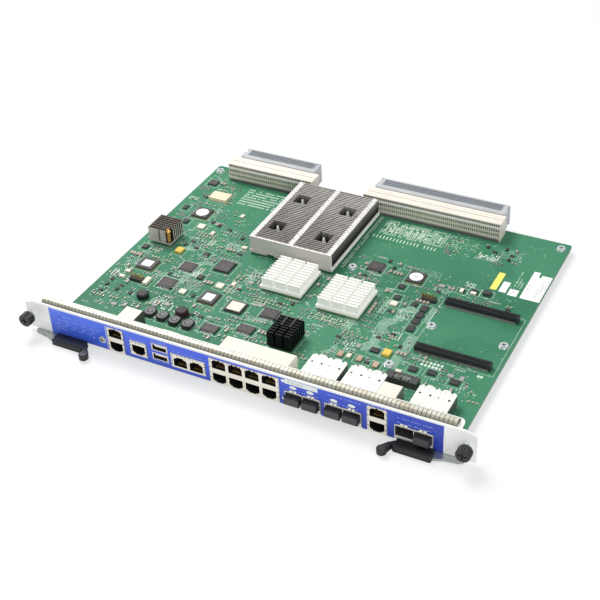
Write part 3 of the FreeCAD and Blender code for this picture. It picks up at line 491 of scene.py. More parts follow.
class Grower(Graph):
    # a geometry tree with named inputs, run on a mesh of points
    def __init__(self, name, inputs):
        tree = bpy.data.node_groups.new(name, "GeometryNodeTree")
        tree.interface.new_socket("Geometry", in_out="INPUT", socket_type="NodeSocketGeometry")
        for title, (kind, value) in inputs.items():
            made = tree.interface.new_socket(title, in_out="INPUT",
                                             socket_type="NodeSocket" + kind)
            if value is not None:
                made.default_value = value
        tree.interface.new_socket("Geometry", in_out="OUTPUT", socket_type="NodeSocketGeometry")
        super().__init__(tree)
        self.given = self.add("NodeGroupInput")
        self.result = tree.nodes.new("NodeGroupOutput")

    def use(self, title):
        return self.given.pin(title)

    def end(self, wire):
        real = self.add("GeometryNodeRealizeInstances", None, {0: wire})
        self.tree.links.new(real.socket, self.result.inputs[0])

    def painted(self, wire, title):
        return self.add("GeometryNodeSetMaterial", None,
                        {"Geometry": wire, "Material": self.use(title)})

    def joined(self, *wires):
        both = self.add("GeometryNodeJoinGeometry")
        for wire in reversed(wires):
            self.tree.links.new(wire.socket, both.socket.node.inputs[0])
        return both

    def named(self, title):
        return self.add("GeometryNodeInputNamedAttribute", {"data_type": "FLOAT_VECTOR"},
                        {"Name": title})

    def onPoints(self, shape):
        turn = self.add("FunctionNodeEulerToRotation", None, {0: self.named("turn")})
        points = self.add("GeometryNodeMeshToPoints", None, {0: self.use("Geometry")})
        return self.add("GeometryNodeInstanceOnPoints", None,
                        {"Points": points, "Instance": shape, "Rotation": turn,
                         "Scale": self.named("size")})

    def moved(self, wire, shift, turn=(0.0, 0.0, 0.0)):
        return self.add("GeometryNodeTransform", None,
                        {"Geometry": wire, "Translation": shift, "Rotation": turn})

    def block(self, size, shift, turn=(0.0, 0.0, 0.0)):
        return self.moved(self.add("GeometryNodeMeshCube", None, {"Size": size}), shift, turn)


def grow(name, tree, points, values, slot, body="card"):
    # points: (place, size, turn); the result is a plain mesh riding on one body
    seeds = bpy.data.meshes.new(name + "Seeds")
    seeds.from_pydata([tuple(point[0]) for point in points], [], [])
    for title, index in (("size", 1), ("turn", 2)):
        layer = seeds.attributes.new(title, "FLOAT_VECTOR", "POINT")
        layer.data.foreach_set("vector", [c for point in points for c in point[index]])
    source = bpy.data.objects.new(name + "Source", seeds)
    bpy.context.scene.collection.objects.link(source)
    modifier = source.modifiers.new("grow", "NODES")
    modifier.node_group = trees[tree].tree
    for item in trees[tree].tree.interface.items_tree:
        if item.in_out == "INPUT" and item.name in values:
            value = values[item.name]
            modifier[item.identifier] = looks[value] if isinstance(value, str) else value
    bpy.context.view_layer.update()
    graph = bpy.context.evaluated_depsgraph_get()
    mesh = bpy.data.meshes.new_from_object(source.evaluated_get(graph), depsgraph=graph)
    bpy.data.objects.remove(source)
    mesh.name = name
    finish(bpy.data.objects.new(name, mesh), body, slot)


def growPlain(name, tree, points, material, slot):
    grow(name, tree, points, {"metal": material}, slot)


def cappedTree():
    # body with two plated ends, one unit long, scaled by each point
    tree = Grower("cappedBlock", {"cap": ("Float", 0.22), "body": ("Material", None),
                                  "ends": ("Material", None)})
    cap = tree.use("cap")
    middle = tree.add("ShaderNodeCombineXYZ", None, {0: 1.0 - cap * 2.0, 1: 0.94, 2: 0.94})
    end = tree.add("ShaderNodeCombineXYZ", None, {0: cap, 1: 1.0, 2: 1.0})
    out = (1.0 - cap) * 0.5
    right = tree.block(end, tree.add("ShaderNodeCombineXYZ", None, {0: out, 2: 0.5}))
    left = tree.block(end, tree.add("ShaderNodeCombineXYZ", None, {0: 0.0 - out, 2: 0.5}))
    core = tree.painted(tree.block(middle, (0.0, 0.0, 0.5)), "body")
    caps = tree.painted(tree.joined(right, left), "ends")
    tree.end(tree.onPoints(tree.joined(core, caps)))
    return tree


def discTree():
    # low round pad with a coloured middle
    tree = Grower("roundPad", {"sides": ("Int", 8), "rim": ("Material", None),
                               "middle": ("Material", None)})
    rim = tree.add("GeometryNodeMeshCylinder", {"fill_type": "NGON"},
                   {"Vertices": tree.use("sides"), "Radius": 0.5, "Depth": 1.0})
    hole = tree.add("GeometryNodeMeshCircle", {"fill_type": "NGON"},
                    {"Vertices": tree.use("sides"), "Radius": 0.22})
    rim = tree.painted(tree.moved(rim, (0.0, 0.0, 0.5)), "rim")
    hole = tree.painted(tree.moved(hole, (0.0, 0.0, 1.04)), "middle")
    tree.end(tree.onPoints(tree.joined(rim, hole)))
    return tree


def blocksTree(name, *blocks):
    # one shape joined from blocks: size, place and turn of each
    tree = Grower(name, {"metal": ("Material", None)})
    made = tree.joined(*[tree.block(*block) for block in blocks])
    tree.end(tree.onPoints(tree.painted(made, "metal")))
    return tree


def coilTree():
    # coil spring along z, one unit tall and half a unit in radius
    tree = Grower("coilSpring", {"turns": ("Float", 4.0), "wire": ("Float", 0.07),
                                 "metal": ("Material", None)})
    spiral = tree.add("GeometryNodeCurveSpiral", None,
                      {"Resolution": 14, "Rotations": tree.use("turns"), "Start Radius": 0.5,
                       "End Radius": 0.5, "Height": 1.0})
    section = tree.add("GeometryNodeCurvePrimitiveCircle", None,
                       {"Resolution": 6, "Radius": tree.use("wire")})
    tube = tree.add("GeometryNodeCurveToMesh", None,
                    {"Curve": spiral, "Profile Curve": section, "Fill Caps": True})
    tree.end(tree.onPoints(tree.painted(tube, "metal")))
    return tree


trees = {
    "capped": cappedTree(),
    "disc": discTree(),
    "coil": coilTree(),
    # bent lead that points along x: shoulder, slope and foot
    "lead": blocksTree("bentLead", ((0.42, 1.0, 0.24), (0.2, 0.0, 0.86)),
                       ((0.86, 1.0, 0.2), (0.5, 0.0, 0.48), (0.0, 1.15, 0.0)),
                       ((0.46, 1.0, 0.2), (0.82, 0.0, 0.1))),
    # small block with a narrower crown
    "pin": blocksTree("crownedPin", ((1.0, 1.0, 0.8), (0.0, 0.0, 0.4)),
                      ((0.7, 0.7, 0.2), (0.0, 0.0, 0.9))),
    # contact wire that runs back into a port and slopes away
    "wire": blocksTree("contactWire", ((1.0, 0.5, 0.35), (0.0, 0.22, 0.1), (-0.3, 0.0, 0.0)),
                       ((1.0, 0.55, 0.35), (0.0, 0.7, -0.02), (0.25, 0.0, 0.0))),
    # sprung tongue that bows outwards, standing on its root
    "claw": blocksTree("springTongue", ((1.0, 0.16, 0.5), (0.0, -0.12, 0.22), (0.45, 0.0, 0.0)),
                       ((1.0, 0.16, 0.5), (0.0, -0.12, 0.66), (-0.45, 0.0, 0.0))),
}
print("geometry trees:", len(trees))


def sized(place, wide, deep, tall, turn=(0.0, 0.0, 0.0)):
    return place, (wide * mm, deep * mm, tall * mm), turn


def onto(x, y, z, wide, deep, tall, turn=0.0):
    return sized(at(x, y, z), wide, deep, tall, (0.0, 0.0, math.radians(turn)))


# CAD pieces' finishes

plainDress = {
    "fingerMetal": ["contact_strip"], "filmBlue": ["panel_film"], "panelWhite": ["front_panel"],
    "leverZinc": bothSides("lever_plate"),
    "mouldedBlack": bothSides("lever_grip") + ["coil"],
    "screwZinc": bothSides("lever_rivet") + bothSides("screw_sleeve") + ["board_screws"],
    "creamMoulding": ["push_button"], "canCream": ["clock_can"], "redCase": ["beeper"],
    "chipMould": ["main_sink_chip", "transformer"], "whitePrint": ["main_sink_pins"],
    "whiteAnodised": bothSides("white_sink"), "blackAnodised": ["black_sink"],
    "carrierLaminate": bothSides("white_sink_chip") + ["black_sink_chip", "small_sink_chip"],
    "strapSteel": ["black_sink_strap"], "postBrass": ["small_sink_post"],
    "mezzanineGrey": mezzanines,
}


def edgeOf(spot, low, high, foot=0.0):
    # how far a face lies inside the front outline of its node
    return min(spot.x - low.x, high.x - spot.x, spot.z - low.z - foot, high.z - spot.z)


def onRight(spot, normal, high):
    return normal.x > 0.9 and spot.x > high.x - 0.3 * mm


def plugChoice(spot, normal, low, high):
    return int(normal.y < -0.9)


def cageChoice(spot, normal, low, high):
    # plate, bays painted dark as shade, and the side that faces the next cage painted in shade
    if onRight(spot, normal, high):
        return 2
    bay = low.y + 0.5 * mm < spot.y < high.y - 5.0 * mm
    return int(bay and edgeOf(spot, low, high, 2.9 * mm) > 0.3 * mm)


def blockChoice(spot, normal, low, high):
    # shell, openings, and the moulded top
    if normal.z > 0.9 and spot.z > high.z - 2.0 * mm:
        return 3
    inside = low.y + 0.2 * mm < spot.y < low.y + 15 * mm
    return int(inside and edgeOf(spot, low, high) > 0.25 * mm)


def jackChoice(spot, normal, low, high):
    # the right side of each jack is painted in shade
    return 2 if onRight(spot, normal, high) else blockChoice(spot, normal, low, high)


def busChoice(spot, normal, low, high):
    # shell, insides, and the tongue in each port
    if edgeOf(spot, low, high) < 0.4 * mm or not low.y + 0.2 * mm < spot.y < low.y + 13 * mm:
        return 0
    for floor in (2.5, 11.3):
        if boardTop + (floor + 2.4) * mm < spot.z < boardTop + (floor + 4.3) * mm:
            return 2 if abs(spot.x - (low.x + high.x) / 2) < 5.3 * mm else 1
    return 1


def smallSinkChoice(spot, normal, low, high):
    # outer faces bright with a painted sheen, duller fin tops, and hollows dark brown as painted
    # shade
    if abs(normal.y) > 0.5 and low.y + 1.2 * mm < spot.y < high.y - 0.2 * mm:
        return 1
    if normal.z > 0.9:
        return 2 if spot.z > high.z - 1.0 * mm and spot.y > low.y + 2 * mm else 1
    return 0


def mainSinkChoice(spot, normal, low, high):
    # fins, strips on top, frame, and its right flank in glowing white as a painted highlight
    if normal.z > 0.9 and spot.z > high.z - 0.1 * mm:
        return 1
    if spot.z > low.z + 2.6 * mm and spot.y > low.y + 3.1 * mm:
        return 0
    # painted highlight: the right flank takes the glowing white
    return 3 if spot.x > high.x - 1.5 * mm else 2


def shroudChoice(spot, normal, low, high):
    return int(normal.z > 0.9 and high.z - 1.2 * mm < spot.z < high.z - 0.2 * mm)


def bodyChoice(spot, normal, low, high):
    return int(spot.y < low.y + 1.4 * mm)


def screwChoice(spot, normal, low, high):
    return int(spot.y > low.y + 6.9 * mm)


def headerChoice(spot, normal, low, high):
    return int(spot.z > low.z + 2.55 * mm)


def switchChoice(spot, normal, low, high):
    return int(spot.y > low.y + 2.2 * mm)


def chipChoice(spot, normal, low, high):
    return int(spot.z < low.z + 0.8 * mm)


jackParts = ["jackShell", "jackInside", "sideMetal", "creamTop"]
labelledChips = ["square_chip", "white_label_chip"] + bothSides("round_label_chip")
partDress = (
    (["dust_plug_%d" % k for k in range(1, 6)], ["plugBlack", "plugFace"], plugChoice),
    (["transceiver_cage_%d" % k for k in range(1, 4)], ["cagePlate", "cageInside", "sideMetal"],
     cageChoice),
    (bothSides("stacked_jack") + ["single_jack", "double_jack"], jackParts, jackChoice),
    (["jack_block"], jackParts, blockChoice),
    (["bus_ports"], ["jackShell", "busInside", "creamMoulding"], busChoice),
    (bothSides("backplane_shroud"), ["greyMoulding", "pinField"], shroudChoice),
    (bothSides("backplane_body"), ["creamTop", "creamFace"], bodyChoice),
    (bothSides("captive_screw"), ["knobBlack", "screwZinc"], screwChoice),
    (bothSides("pin_header"), ["chipDark", "contactGold"], headerChoice),
    (["button_switch"], ["screwZinc", "chipDark"], switchChoice),
    (labelledChips, ["chipMould", "carrierLaminate"], chipChoice),
    (["small_sink"], ["smallAnodised", "smallHollow", "smallFinTop"], smallSinkChoice),
    (["main_sink"], ["finMetal", "brazeBar", "sinkWall", "whiteAnodised"], mainSinkChoice),
)
for material, names in plainDress.items():
    for node in names:
        dressParts(node, [material])
for names, materials, choose in partDress:
    for node in names:
        dressParts(node, materials, choose)


def islands():
    # left, right, front, back and top of each package that is one with the board
    mesh = nodes["circuit_board"].data
    rooms = []
    for face in mesh.polygons:
        if face.normal.z < 0.9 or face.center.z < boardTop + 0.6 * mm:
            continue
        xs = [mesh.vertices[v].co.x for v in face.vertices]
        ys = [mesh.vertices[v].co.y for v in face.vertices]
        rooms.append([min(xs), max(xs), min(ys), max(ys), face.center.z])
    merged = True
    while merged:
        merged = False
        kept = []
        for room in rooms:
            for other in kept:
                if (room[0] <= other[1] and other[0] <= room[1] and room[2] <= other[3]
                        and other[2] <= room[3]):
                    other[0], other[1] = min(room[0], other[0]), max(room[1], other[1])
                    other[2], other[3] = min(room[2], other[2]), max(room[3], other[3])
                    other[4] = max(room[4], other[4])
                    merged = True
                    break
            else:
                kept.append(room)
        rooms = kept
    return rooms


packages = islands()
packageFinish = {          # by place on the board: everything else is dark moulding
    (59.4, 136.8): "amberCase", (282.0, 80.2): "amberCase", (58.4, 85.8): "creamMoulding",
    (56.9, 177.9): "creamMoulding", (94.0, 85.4): "creamMoulding",
    (118.4, 105.2): "creamMoulding", (261.1, 141.2): "creamMoulding",
    (249.5, 65.1): "tanCeramic", (265.3, 65.6): "tanCeramic", (279.7, 63.8): "tanCeramic",
    (145.6, 84.6): "chipMould", (325.5, 183.9): "chipMould", (108.3, 131.3): "chipMould",
}
boardMaterials = ["boardGreen", "chipTop", "chipDark", "chipMould", "amberCase",
                  "creamMoulding", "tanCeramic"]


def finishOf(room):
    x, y = fromLeft((room[0] + room[1]) / 2), fromFront((room[2] + room[3]) / 2)
    for (px, py), material in packageFinish.items():
        if abs(px - x) < 2.5 and abs(py - y) < 2.5:
            return material
    if room[4] - boardTop > 3.2 * mm:
        return "chipDark"
    return "chipTop" if room[1] - room[0] > 8 * mm else "chipDark"


def boardChoice(spot, normal, low, high):
    if spot.z < boardTop + 0.02 * mm:
        return 0
    for room in packages:
        if (room[0] - 1.0 * mm < spot.x < room[1] + 1.0 * mm
                and room[2] - 1.0 * mm < spot.y < room[3] + 1.0 * mm):
            return boardMaterials.index(finishOf(room))
    return 2


dressParts("circuit_board", boardMaterials, boardChoice)
print("packages on the board:", len(packages))

# leads and pads

leadLook = {"pitch": 1.27, "wide": 0.55, "reach": 1.7, "smallest": 4.5,
            "fourSided": 11,              # packages wider than this have leads on four sides
            "mezzaninePitch": 0.9}


def leadRow(points, x, y, step, long, turn, tall):
    count = int((long - 1.5) / leadLook["pitch"])
    for k in range(count):
        offset = (k - (count - 1) / 2) * leadLook["pitch"]
        points.append(onto(x + step[0] * offset, y + step[1] * offset, 0.0,
                           leadLook["reach"], leadLook["wide"], tall, turn))


def packageLeads():
    points = []
    for room in packages:
        x0, x1, y0, y1 = (fromLeft(room[0]), fromLeft(room[1]), fromFront(room[2]),
                          fromFront(room[3]))
        wide, deep, tall = x1 - x0, y1 - y0, (room[4] - boardTop) / mm * 0.6
        if min(wide, deep) < leadLook["smallest"] or finishOf(room) != "chipTop":
            continue
        x, y = (x0 + x1) / 2, (y0 + y1) / 2
        if wide > deep * 1.25 or min(wide, deep) > leadLook["fourSided"]:
            leadRow(points, x, y0 - 0.1, (1, 0), wide, -90, tall)
            leadRow(points, x, y1 + 0.1, (1, 0), wide, 90, tall)
        if deep > wide * 1.25 or min(wide, deep) > leadLook["fourSided"]:
            leadRow(points, x0 - 0.1, y, (0, 1), deep, 180, tall)
            leadRow(points, x1 + 0.1, y, (0, 1), deep, 0, tall)
    for node in mezzanines:
        low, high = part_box(node)
        for k in range(int((high.x - low.x) / (leadLook["mezzaninePitch"] * mm)) - 2):
            x = fromLeft(low.x) + 1.2 + k * leadLook["mezzaninePitch"]
            for y, turn in ((fromFront(low.y), -90), (fromFront(high.y), 90)):
                points.append(onto(x, y, 0.0, 1.5, 0.4, 1.6, turn))
    growPlain("package_leads", "lead", points, "solderTin", "screw_metal")
    return len(points)


bareFields = (             # left, front, right, back of the plain stretches of board
    (299.0, 99.0, 363.0, 154.0), (209.0, 199.0, 300.0, 223.0), (298.0, 195.0, 322.0, 227.0),
    (311.0, 255.0, 356.0, 281.0), (337.0, 233.0, 368.0, 266.0), (218.0, 62.0, 236.0, 86.0),
    (353.0, 66.0, 368.0, 200.0), (88.0, 187.0, 103.0, 222.0), (65.0, 213.0, 103.0, 223.0),
    (118.0, 141.0, 142.0, 157.0), (323.0, 190.0, 368.0, 232.0), (60.0, 226.0, 104.0, 255.0),
    (204.0, 224.0, 268.0, 256.0), (197.0, 198.0, 209.0, 258.0),
)
openNodes = ("circuit_board", "front_panel", "panel_film", "contact_strip", "board_screws",
             "main_sink_pins")


def plan(low, high):
    return low.x, high.x, low.y, high.y


def grown(area, clear):
    left, right, front, back = area[:4]
    return left - clear * mm, right + clear * mm, front - clear * mm, back + clear * mm


taken = [grown(plan(*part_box(name)), 0.8) for name in nodes if name not in openNodes]
taken += [grown(room, 2.2) for room in packages]
taken += [grown(plan(at(x, y), at(x, y)), 5) for x, y in screwPlaces]
taken += [plan(at(left, front), at(right, back)) for left, front, right, back in bareFields]


def free(x, y, clear=1.2):
    p = at(x, y)
    gap = clear * mm
    if not (boardLow.x + 2.5 * mm < p.x < boardHigh.x - 2.5 * mm
            and boardLow.y + 14 * mm < p.y < boardHigh.y - 3 * mm):
        return False
    return not any(a - gap < p.x < b + gap and c - gap < p.y < d + gap for a, b, c, d in taken)


smallParts = {             # part: long, wide, tall, body, how many, seed
    "resistors": (2.0, 1.25, 0.55, "chipDark", 330, 11),
    "capacitors": (2.0, 1.3, 1.0, "tanCeramic", 300, 12),
    "large_capacitors": (3.4, 2.0, 1.6, "tanCeramic", 60, 13),
    "arrays": (3.2, 1.7, 0.6, "chipMould", 110, 14),
}
rowsOfParts = (            # first x, first y, columns, rows, step x, step y, part
    (60.0, 165.0, 6, 2, 3.4, 4.2, "capacitors"), (88.0, 176.0, 4, 5, 3.4, 4.0, "resistors"),
    (66.0, 156.0, 3, 3, 3.6, 4.0, "resistors"), (126.0, 100.0, 2, 7, 4.0, 4.2, "capacitors"),
    (154.0, 100.0, 9, 2, 3.6, 4.4, "capacitors"), (96.0, 143.0, 7, 2, 3.6, 4.0, "resistors"),
    (206.0, 98.0, 9, 2, 3.8, 4.2, "capacitors"), (252.0, 112.0, 2, 8, 4.4, 4.4, "resistors"),
    (248.0, 90.0, 4, 1, 4.2, 4.4, "capacitors"), (240.0, 76.0, 4, 4, 3.6, 3.6, "resistors"),
    (304.0, 169.0, 6, 1, 5.2, 4.4, "resistors"), (216.0, 160.0, 6, 2, 4.2, 4.2, "capacitors"),
    (30.0, 60.0, 5, 2, 4.0, 4.6, "resistors"), (62.0, 196.0, 3, 3, 4.2, 4.2, "resistors"),
    (240.0, 90.0, 5, 1, 3.8, 4.4, "capacitors"), (128.0, 62.0, 8, 1, 4.4, 4.4, "resistors"),
    (248.0, 122.0, 2, 4, 4.0, 4.2, "large_capacitors"), (150.0, 68.0, 3, 2, 4.6, 4.6, "arrays"),
)
placedParts = {            # middles of parts that stand alone
    "dark": ((28.5, 77.5), (28.7, 69.7), (28.4, 60.4), (41.2, 72.6), (40.7, 67.1), (54.4, 66.7),
             (69.8, 103.7), (104.9, 84.3), (117.1, 61.6), (125.7, 61.8), (135.5, 107.5),
             (58.8, 147.5), (34.4, 222.9), (39.1, 179.4), (71.6, 185.6), (83.4, 183.0),
             (100.9, 175.5), (62.8, 154.0), (70.5, 146.3), (110.7, 152.9), (63.2, 188.4),
             (303.0, 249.0), (311.0, 243.5), (326.0, 243.5), (325.6, 237.0), (319.0, 251.5),
             (223.0, 168.0), (256.8, 165.0), (262.0, 130.5), (276.5, 146.0), (288.0, 171.0),
             (238.5, 84.0), (272.0, 64.0), (241.5, 188.0), (234.5, 195.5), (348.0, 170.0),
             (268.0, 96.0), (277.0, 104.0), (288.0, 92.0), (176.0, 104.0), (186.0, 108.0)),
    "silver": ((59.2, 50.9), (91.6, 65.2), (82.1, 61.0), (50.2, 48.2), (84.5, 140.3),
               (287.5, 180.0), (258.0, 80.0), (345.0, 75.5), (336.0, 75.5), (140.0, 120.0)),
    "cream": ((34.7, 92.4), (34.3, 84.1), (109.8, 163.4), (82.9, 207.4), (72.0, 172.0),
              (128.0, 112.0), (305.0, 180.0), (315.0, 180.0), (298.5, 64.0), (256.5, 65.5)),
}
placedLook = {             # long, wide, tall, body
    "dark": (3.4, 2.4, 1.2, "chipDark"),
    "silver": (5.0, 3.4, 0.9, "moduleGrey"),
    "cream": (4.6, 3.2, 1.6, "creamMoulding"),
}


def partsThatStandAlone():
    rng = random.Random(41)
    legs = []
    for kind, places in placedParts.items():
        long, wide, tall, body = placedLook[kind]
        points = []
        for x, y in places:
            turn = rng.choice((0, 90))
            points.append(onto(x, y, 0.02, long, wide, tall, turn))
            alongX, alongY = (1, 0) if turn == 0 else (0, 1)
            for side in (-1, 1):
                for k in (-1, 0, 1):
                    out, shift = side * wide * 0.42, k * 0.95
                    legs.append(onto(x + alongY * out + alongX * shift,
                                     y + alongX * out + alongY * shift, 0.0, 1.1, 0.42,
                                     tall * 0.7, turn + 90 * side))
        grow("parts_" + kind, "capped", points, {"body": body, "ends": body, "cap": 0.2},
             "chip_plastic")
    growPlain("part_legs", "lead", legs, "solderTin", "screw_metal")


def tinyParts():
    made = {name: [] for name in smallParts}
    laid = [place for places in placedParts.values() for place in places]

    def lay(name, x, y, turn):
        long, wide, tall = smallParts[name][:3]
        if free(x, y) and not any(abs(x - a) < 2.4 and abs(y - b) < 2.6 for a, b in laid):
            laid.append((x, y))
            made[name].append(onto(x, y, 0.02, long, wide, tall, turn))

    for x, y, columns, rows, stepX, stepY, name in rowsOfParts:
        for c in range(columns):
            for r in range(rows):
                lay(name, x + c * stepX, y + r * stepY, 90 if stepX < stepY else 0)
    for name, part in smallParts.items():
        count, dice = part[4], random.Random(part[5])
        tries = 0
        while len(made[name]) < count and tries < count * 12:
            tries += 1
            x, y = dice.uniform(20, 364), dice.uniform(40, 272)
            # busier towards the front left, sparse at the back right
            if dice.random() < 0.2 + 0.55 * (x / 364) * (y / 272):
                continue
            for k in range(dice.choice((1, 1, 2, 3, 4))):
                lay(name, x + k * 3.1, y, 90)
    for name, points in made.items():
        grow("small_" + name, "capped", points,
             {"body": smallParts[name][3], "ends": "solderTin"}, "chip_plastic")
    return laid


dashFields = (             # left, front, right, back, step x, step y, wide, long, left out
    (207.0, 233.0, 267.0, 255.0, 2.0, 2.6, 0.95, 1.7, 0.2),
    (210.0, 238.0, 262.0, 249.0, 3.1, 3.6, 1.9, 2.4, 0.3),
    (204.0, 225.4, 264.0, 230.0, 3.2, 6.0, 0.85, 4.6, 0.1),
    (268.0, 235.0, 284.0, 254.0, 2.1, 2.9, 0.7, 1.6, 0.4),
    (66.0, 226.5, 103.0, 254.0, 2.2, 4.1, 1.3, 1.8, 0.15),
    (304.0, 188.0, 313.0, 193.5, 1.9, 2.2, 1.2, 1.3, 0.25),
    (198.0, 172.0, 200.5, 257.0, 1.9, 2.1, 1.1, 1.2, 0.2),
    (275.0, 99.0, 284.0, 108.0, 2.3, 2.6, 1.2, 1.6, 0.2),
    (299.0, 231.0, 316.0, 240.0, 2.1, 2.4, 1.3, 1.6, 0.3),
    (246.0, 72.0, 254.0, 84.0, 2.4, 3.0, 1.2, 1.8, 0.25),
    (270.0, 126.0, 281.0, 138.0, 2.2, 2.6, 0.8, 1.8, 0.3),
    (84.0, 59.0, 101.0, 70.0, 2.4, 2.8, 1.3, 1.8, 0.45),
    (210.0, 100.0, 240.0, 107.0, 2.6, 2.6, 1.0, 1.6, 0.35),
    (310.0, 78.5, 326.0, 86.0, 3.0, 3.9, 2.0, 2.7, 0.15),
    (354.0, 82.5, 358.0, 86.0, 2.4, 3.9, 2.0, 2.7, 0.0),
)


def dashes(shape):
    # short printed strokes in straight rows
    rng = random.Random(62)
    for left, front, right, back, stepX, stepY, wide, long, missing in dashFields:
        for x, y in grid(left, front, right, back, stepX, stepY):
            if rng.random() > missing:
                addBlock(shape, at(x, y, 0.0), at(x + wide, y + long, 0.02))


bundles = (                # first x, first y, heading, long, turn, long after it, lines
    (294.6, 66.0, 90, 44.0, 0, 0.1, 5), (295.6, 128.0, 90, 22.0, 0, 0.1, 3),
    (262.0, 76.0, 45, 12.0, 45, 14.0, 6), (268.0, 100.0, 90, 14.0, -45, 10.0, 6),
    (276.0, 122.0, 90, 12.0, -45, 11.0, 6), (258.0, 126.0, 90, 16.0, 45, 6.0, 4),
    (282.0, 172.0, 0, 12.0, 45, 8.0, 4), (236.0, 60.0, 45, 10.0, 45, 8.0, 3),
    (128.0, 98.0, 45, 10.0, 45, 10.0, 5), (88.0, 96.0, 90, 12.0, -45, 10.0, 5),
    (58.0, 98.0, 0, 8.0, 45, 8.0, 4), (92.0, 160.0, 0, 10.0, -45, 8.0, 5),
    (82.0, 60.0, 90, 6.0, -45, 8.0, 5), (242.0, 96.0, 90, 14.0, 45, 6.0, 5),
    (60.0, 142.0, 0, 10.0, 45, 8.0, 4), (160.0, 74.0, 0, 12.0, 45, 6.0, 4),
    (140.0, 118.0, 90, 16.0, -45, 4.0, 5), (84.0, 122.0, 45, 10.0, -45, 8.0, 4),
)
bundleLook = {"pitch": 1.5, "wide": 0.42, "level": 0.012}
printRows = (              # first x, first y, marks in the row
    (301.0, 84.0, 4), (336.0, 84.0, 5), (262.0, 97.0, 5), (221.0, 198.0, 6), (238.0, 104.0, 5),
    (100.0, 76.0, 5), (150.0, 72.0, 6), (58.0, 160.0, 5), (38.0, 240.0, 6), (180.0, 112.0, 4),
    (330.0, 175.0, 6), (296.0, 76.0, 6), (300.0, 233.0, 5), (250.0, 74.0, 5),
    (130.0, 128.0, 5), (76.0, 104.0, 4), (212.0, 90.0, 6), (228.0, 172.0, 5), (90.0, 204.0, 5),
)
lineDice = random.Random(83)


def heading(degrees):
    turn = math.radians(degrees)
    return Vector((math.cos(turn), math.sin(turn), 0))


def ribbon(shape, first, last):
    level = boardTop + bundleLook["level"] * mm
    side = Vector((last.y - first.y, first.x - last.x, 0)).normalized()
    side *= bundleLook["wide"] * mm / 2
    corners = (first - side, last - side, last + side, first + side)
    face = shape.faces.new([shape.verts.new((c.x, c.y, level)) for c in corners])
    if face.normal.z < 0:
        face.normal_flip()


def traces(shape):
    # bundles of parallel traces that turn once
    for x, y, degrees, long, turn, after, lines in bundles:
        ahead, then = heading(degrees), heading(degrees + turn)
        side = Vector((-ahead.y, ahead.x, 0))
        for k in range(lines):
            shift = k * bundleLook["pitch"]
            knee = long - shift * math.tan(math.radians(turn) / 2)
            start = at(x, y) + side * shift * mm
            middle = start + ahead * knee * mm
            ribbon(shape, start, middle)
            ribbon(shape, middle, middle + then * (after - lineDice.uniform(0, 2)) * mm)
    shape.normal_update()


def marks(shape):
    # rows of small bare marks, three strokes of five in each
    strokes = ((0.0, 0.0, 0.3, 1.7), (0.0, 1.4, 1.1, 1.7), (0.0, 0.0, 1.1, 0.3),
               (0.8, 0.0, 1.1, 1.7), (0.0, 0.7, 1.1, 1.0))
    for x, y, count in printRows:
        for left in (x + k * 1.7 for k in range(count)):
            for x0, y0, x1, y1 in lineDice.sample(strokes, 3):
                if free(left, y, 0.1):
                    addBlock(shape, at(left + x0, y + y0, 0.0), at(left + x1, y + y1, 0.03))


goldRows = ((24.4, 218.6, 7, 0), (39.7, 131.7, 6, 0), (78.6, 159.7, 6, 90), (24.6, 88.0, 6, 90),
            (92.0, 119.0, 5, 90), (90.6, 112.0, 5, 90), (160.0, 96.6, 8, 0), (250.0, 158.0, 5, 0))


def padRows():
    # bare plated pads in short double rows
    points = []
    for x, y, count, turn in goldRows:
        for k in range(count):
            for row in (-1.5, 1.5):
                along = (k - (count - 1) / 2) * 1.5
                if turn == 0:
                    points.append(onto(x + along, y + row, 0.0, 0.7, 1.7, 0.06))
                else:
                    points.append(onto(x + row, y + along, 0.0, 1.7, 0.7, 0.06))
    growPlain("bare_pads", "pin", points, "springTin", "screw_metal")


viaFields = (              # left, front, right, back, step, share left out
    (60.0, 150.0, 110.0, 166.0, 2.6, 0.5), (24.0, 92.0, 34.0, 128.0, 2.4, 0.4),
    (56.0, 186.0, 64.0, 212.0, 2.0, 0.3), (128.0, 140.0, 150.0, 158.0, 2.2, 0.35),
    (246.0, 190.0, 282.0, 200.0, 2.2, 0.35), (92.0, 92.0, 106.0, 104.0, 1.8, 0.2),
    (150.0, 154.0, 204.0, 160.0, 1.9, 0.2), (300.0, 60.0, 362.0, 68.0, 2.4, 0.5),
    (196.0, 150.0, 250.0, 158.0, 2.2, 0.4), (284.0, 238.0, 297.0, 252.0, 2.0, 0.5),
    (298.0, 230.0, 317.0, 238.0, 1.7, 0.25), (317.0, 240.0, 336.0, 254.0, 2.0, 0.3),
)
viaLook = {"strewn": 900, "small": 0.6, "sides": 8, "tall": 0.03}


def viaPads():
    rng = random.Random(21)
    points = []
    for left, front, right, back, step, missing in viaFields:
        for x, y in grid(left, front, right, back, step, step):
            if rng.random() > missing and free(x, y, 0.3):
                wide = rng.choice((0.75, 0.75, 0.95))
                points.append(onto(x, y, 0.0, wide, wide, viaLook["tall"]))
    for k in range(viaLook["strewn"]):
        x, y = rng.uniform(20, 364), rng.uniform(20, 276)
        if free(x, y, 0.4):
            points.append(onto(x, y, 0.0, viaLook["small"], viaLook["small"], viaLook["tall"]))
    grow("via_pads", "disc", points, {"sides": viaLook["sides"], "rim": "whitePrint",
                                      "middle": "carrierLaminate"}, "screw_metal")
    return len(points)


printLook = {"outline": 0.11, "thick": 0.015, "strewn": 1500}
outlinedNodes = (["square_chip"] + bothSides("round_label_chip")
                 + ["white_label_chip", "clock_can", "transformer", "black_sink"]
                 + bothSides("white_sink") + ["small_sink"] + bothSides("pin_header"))


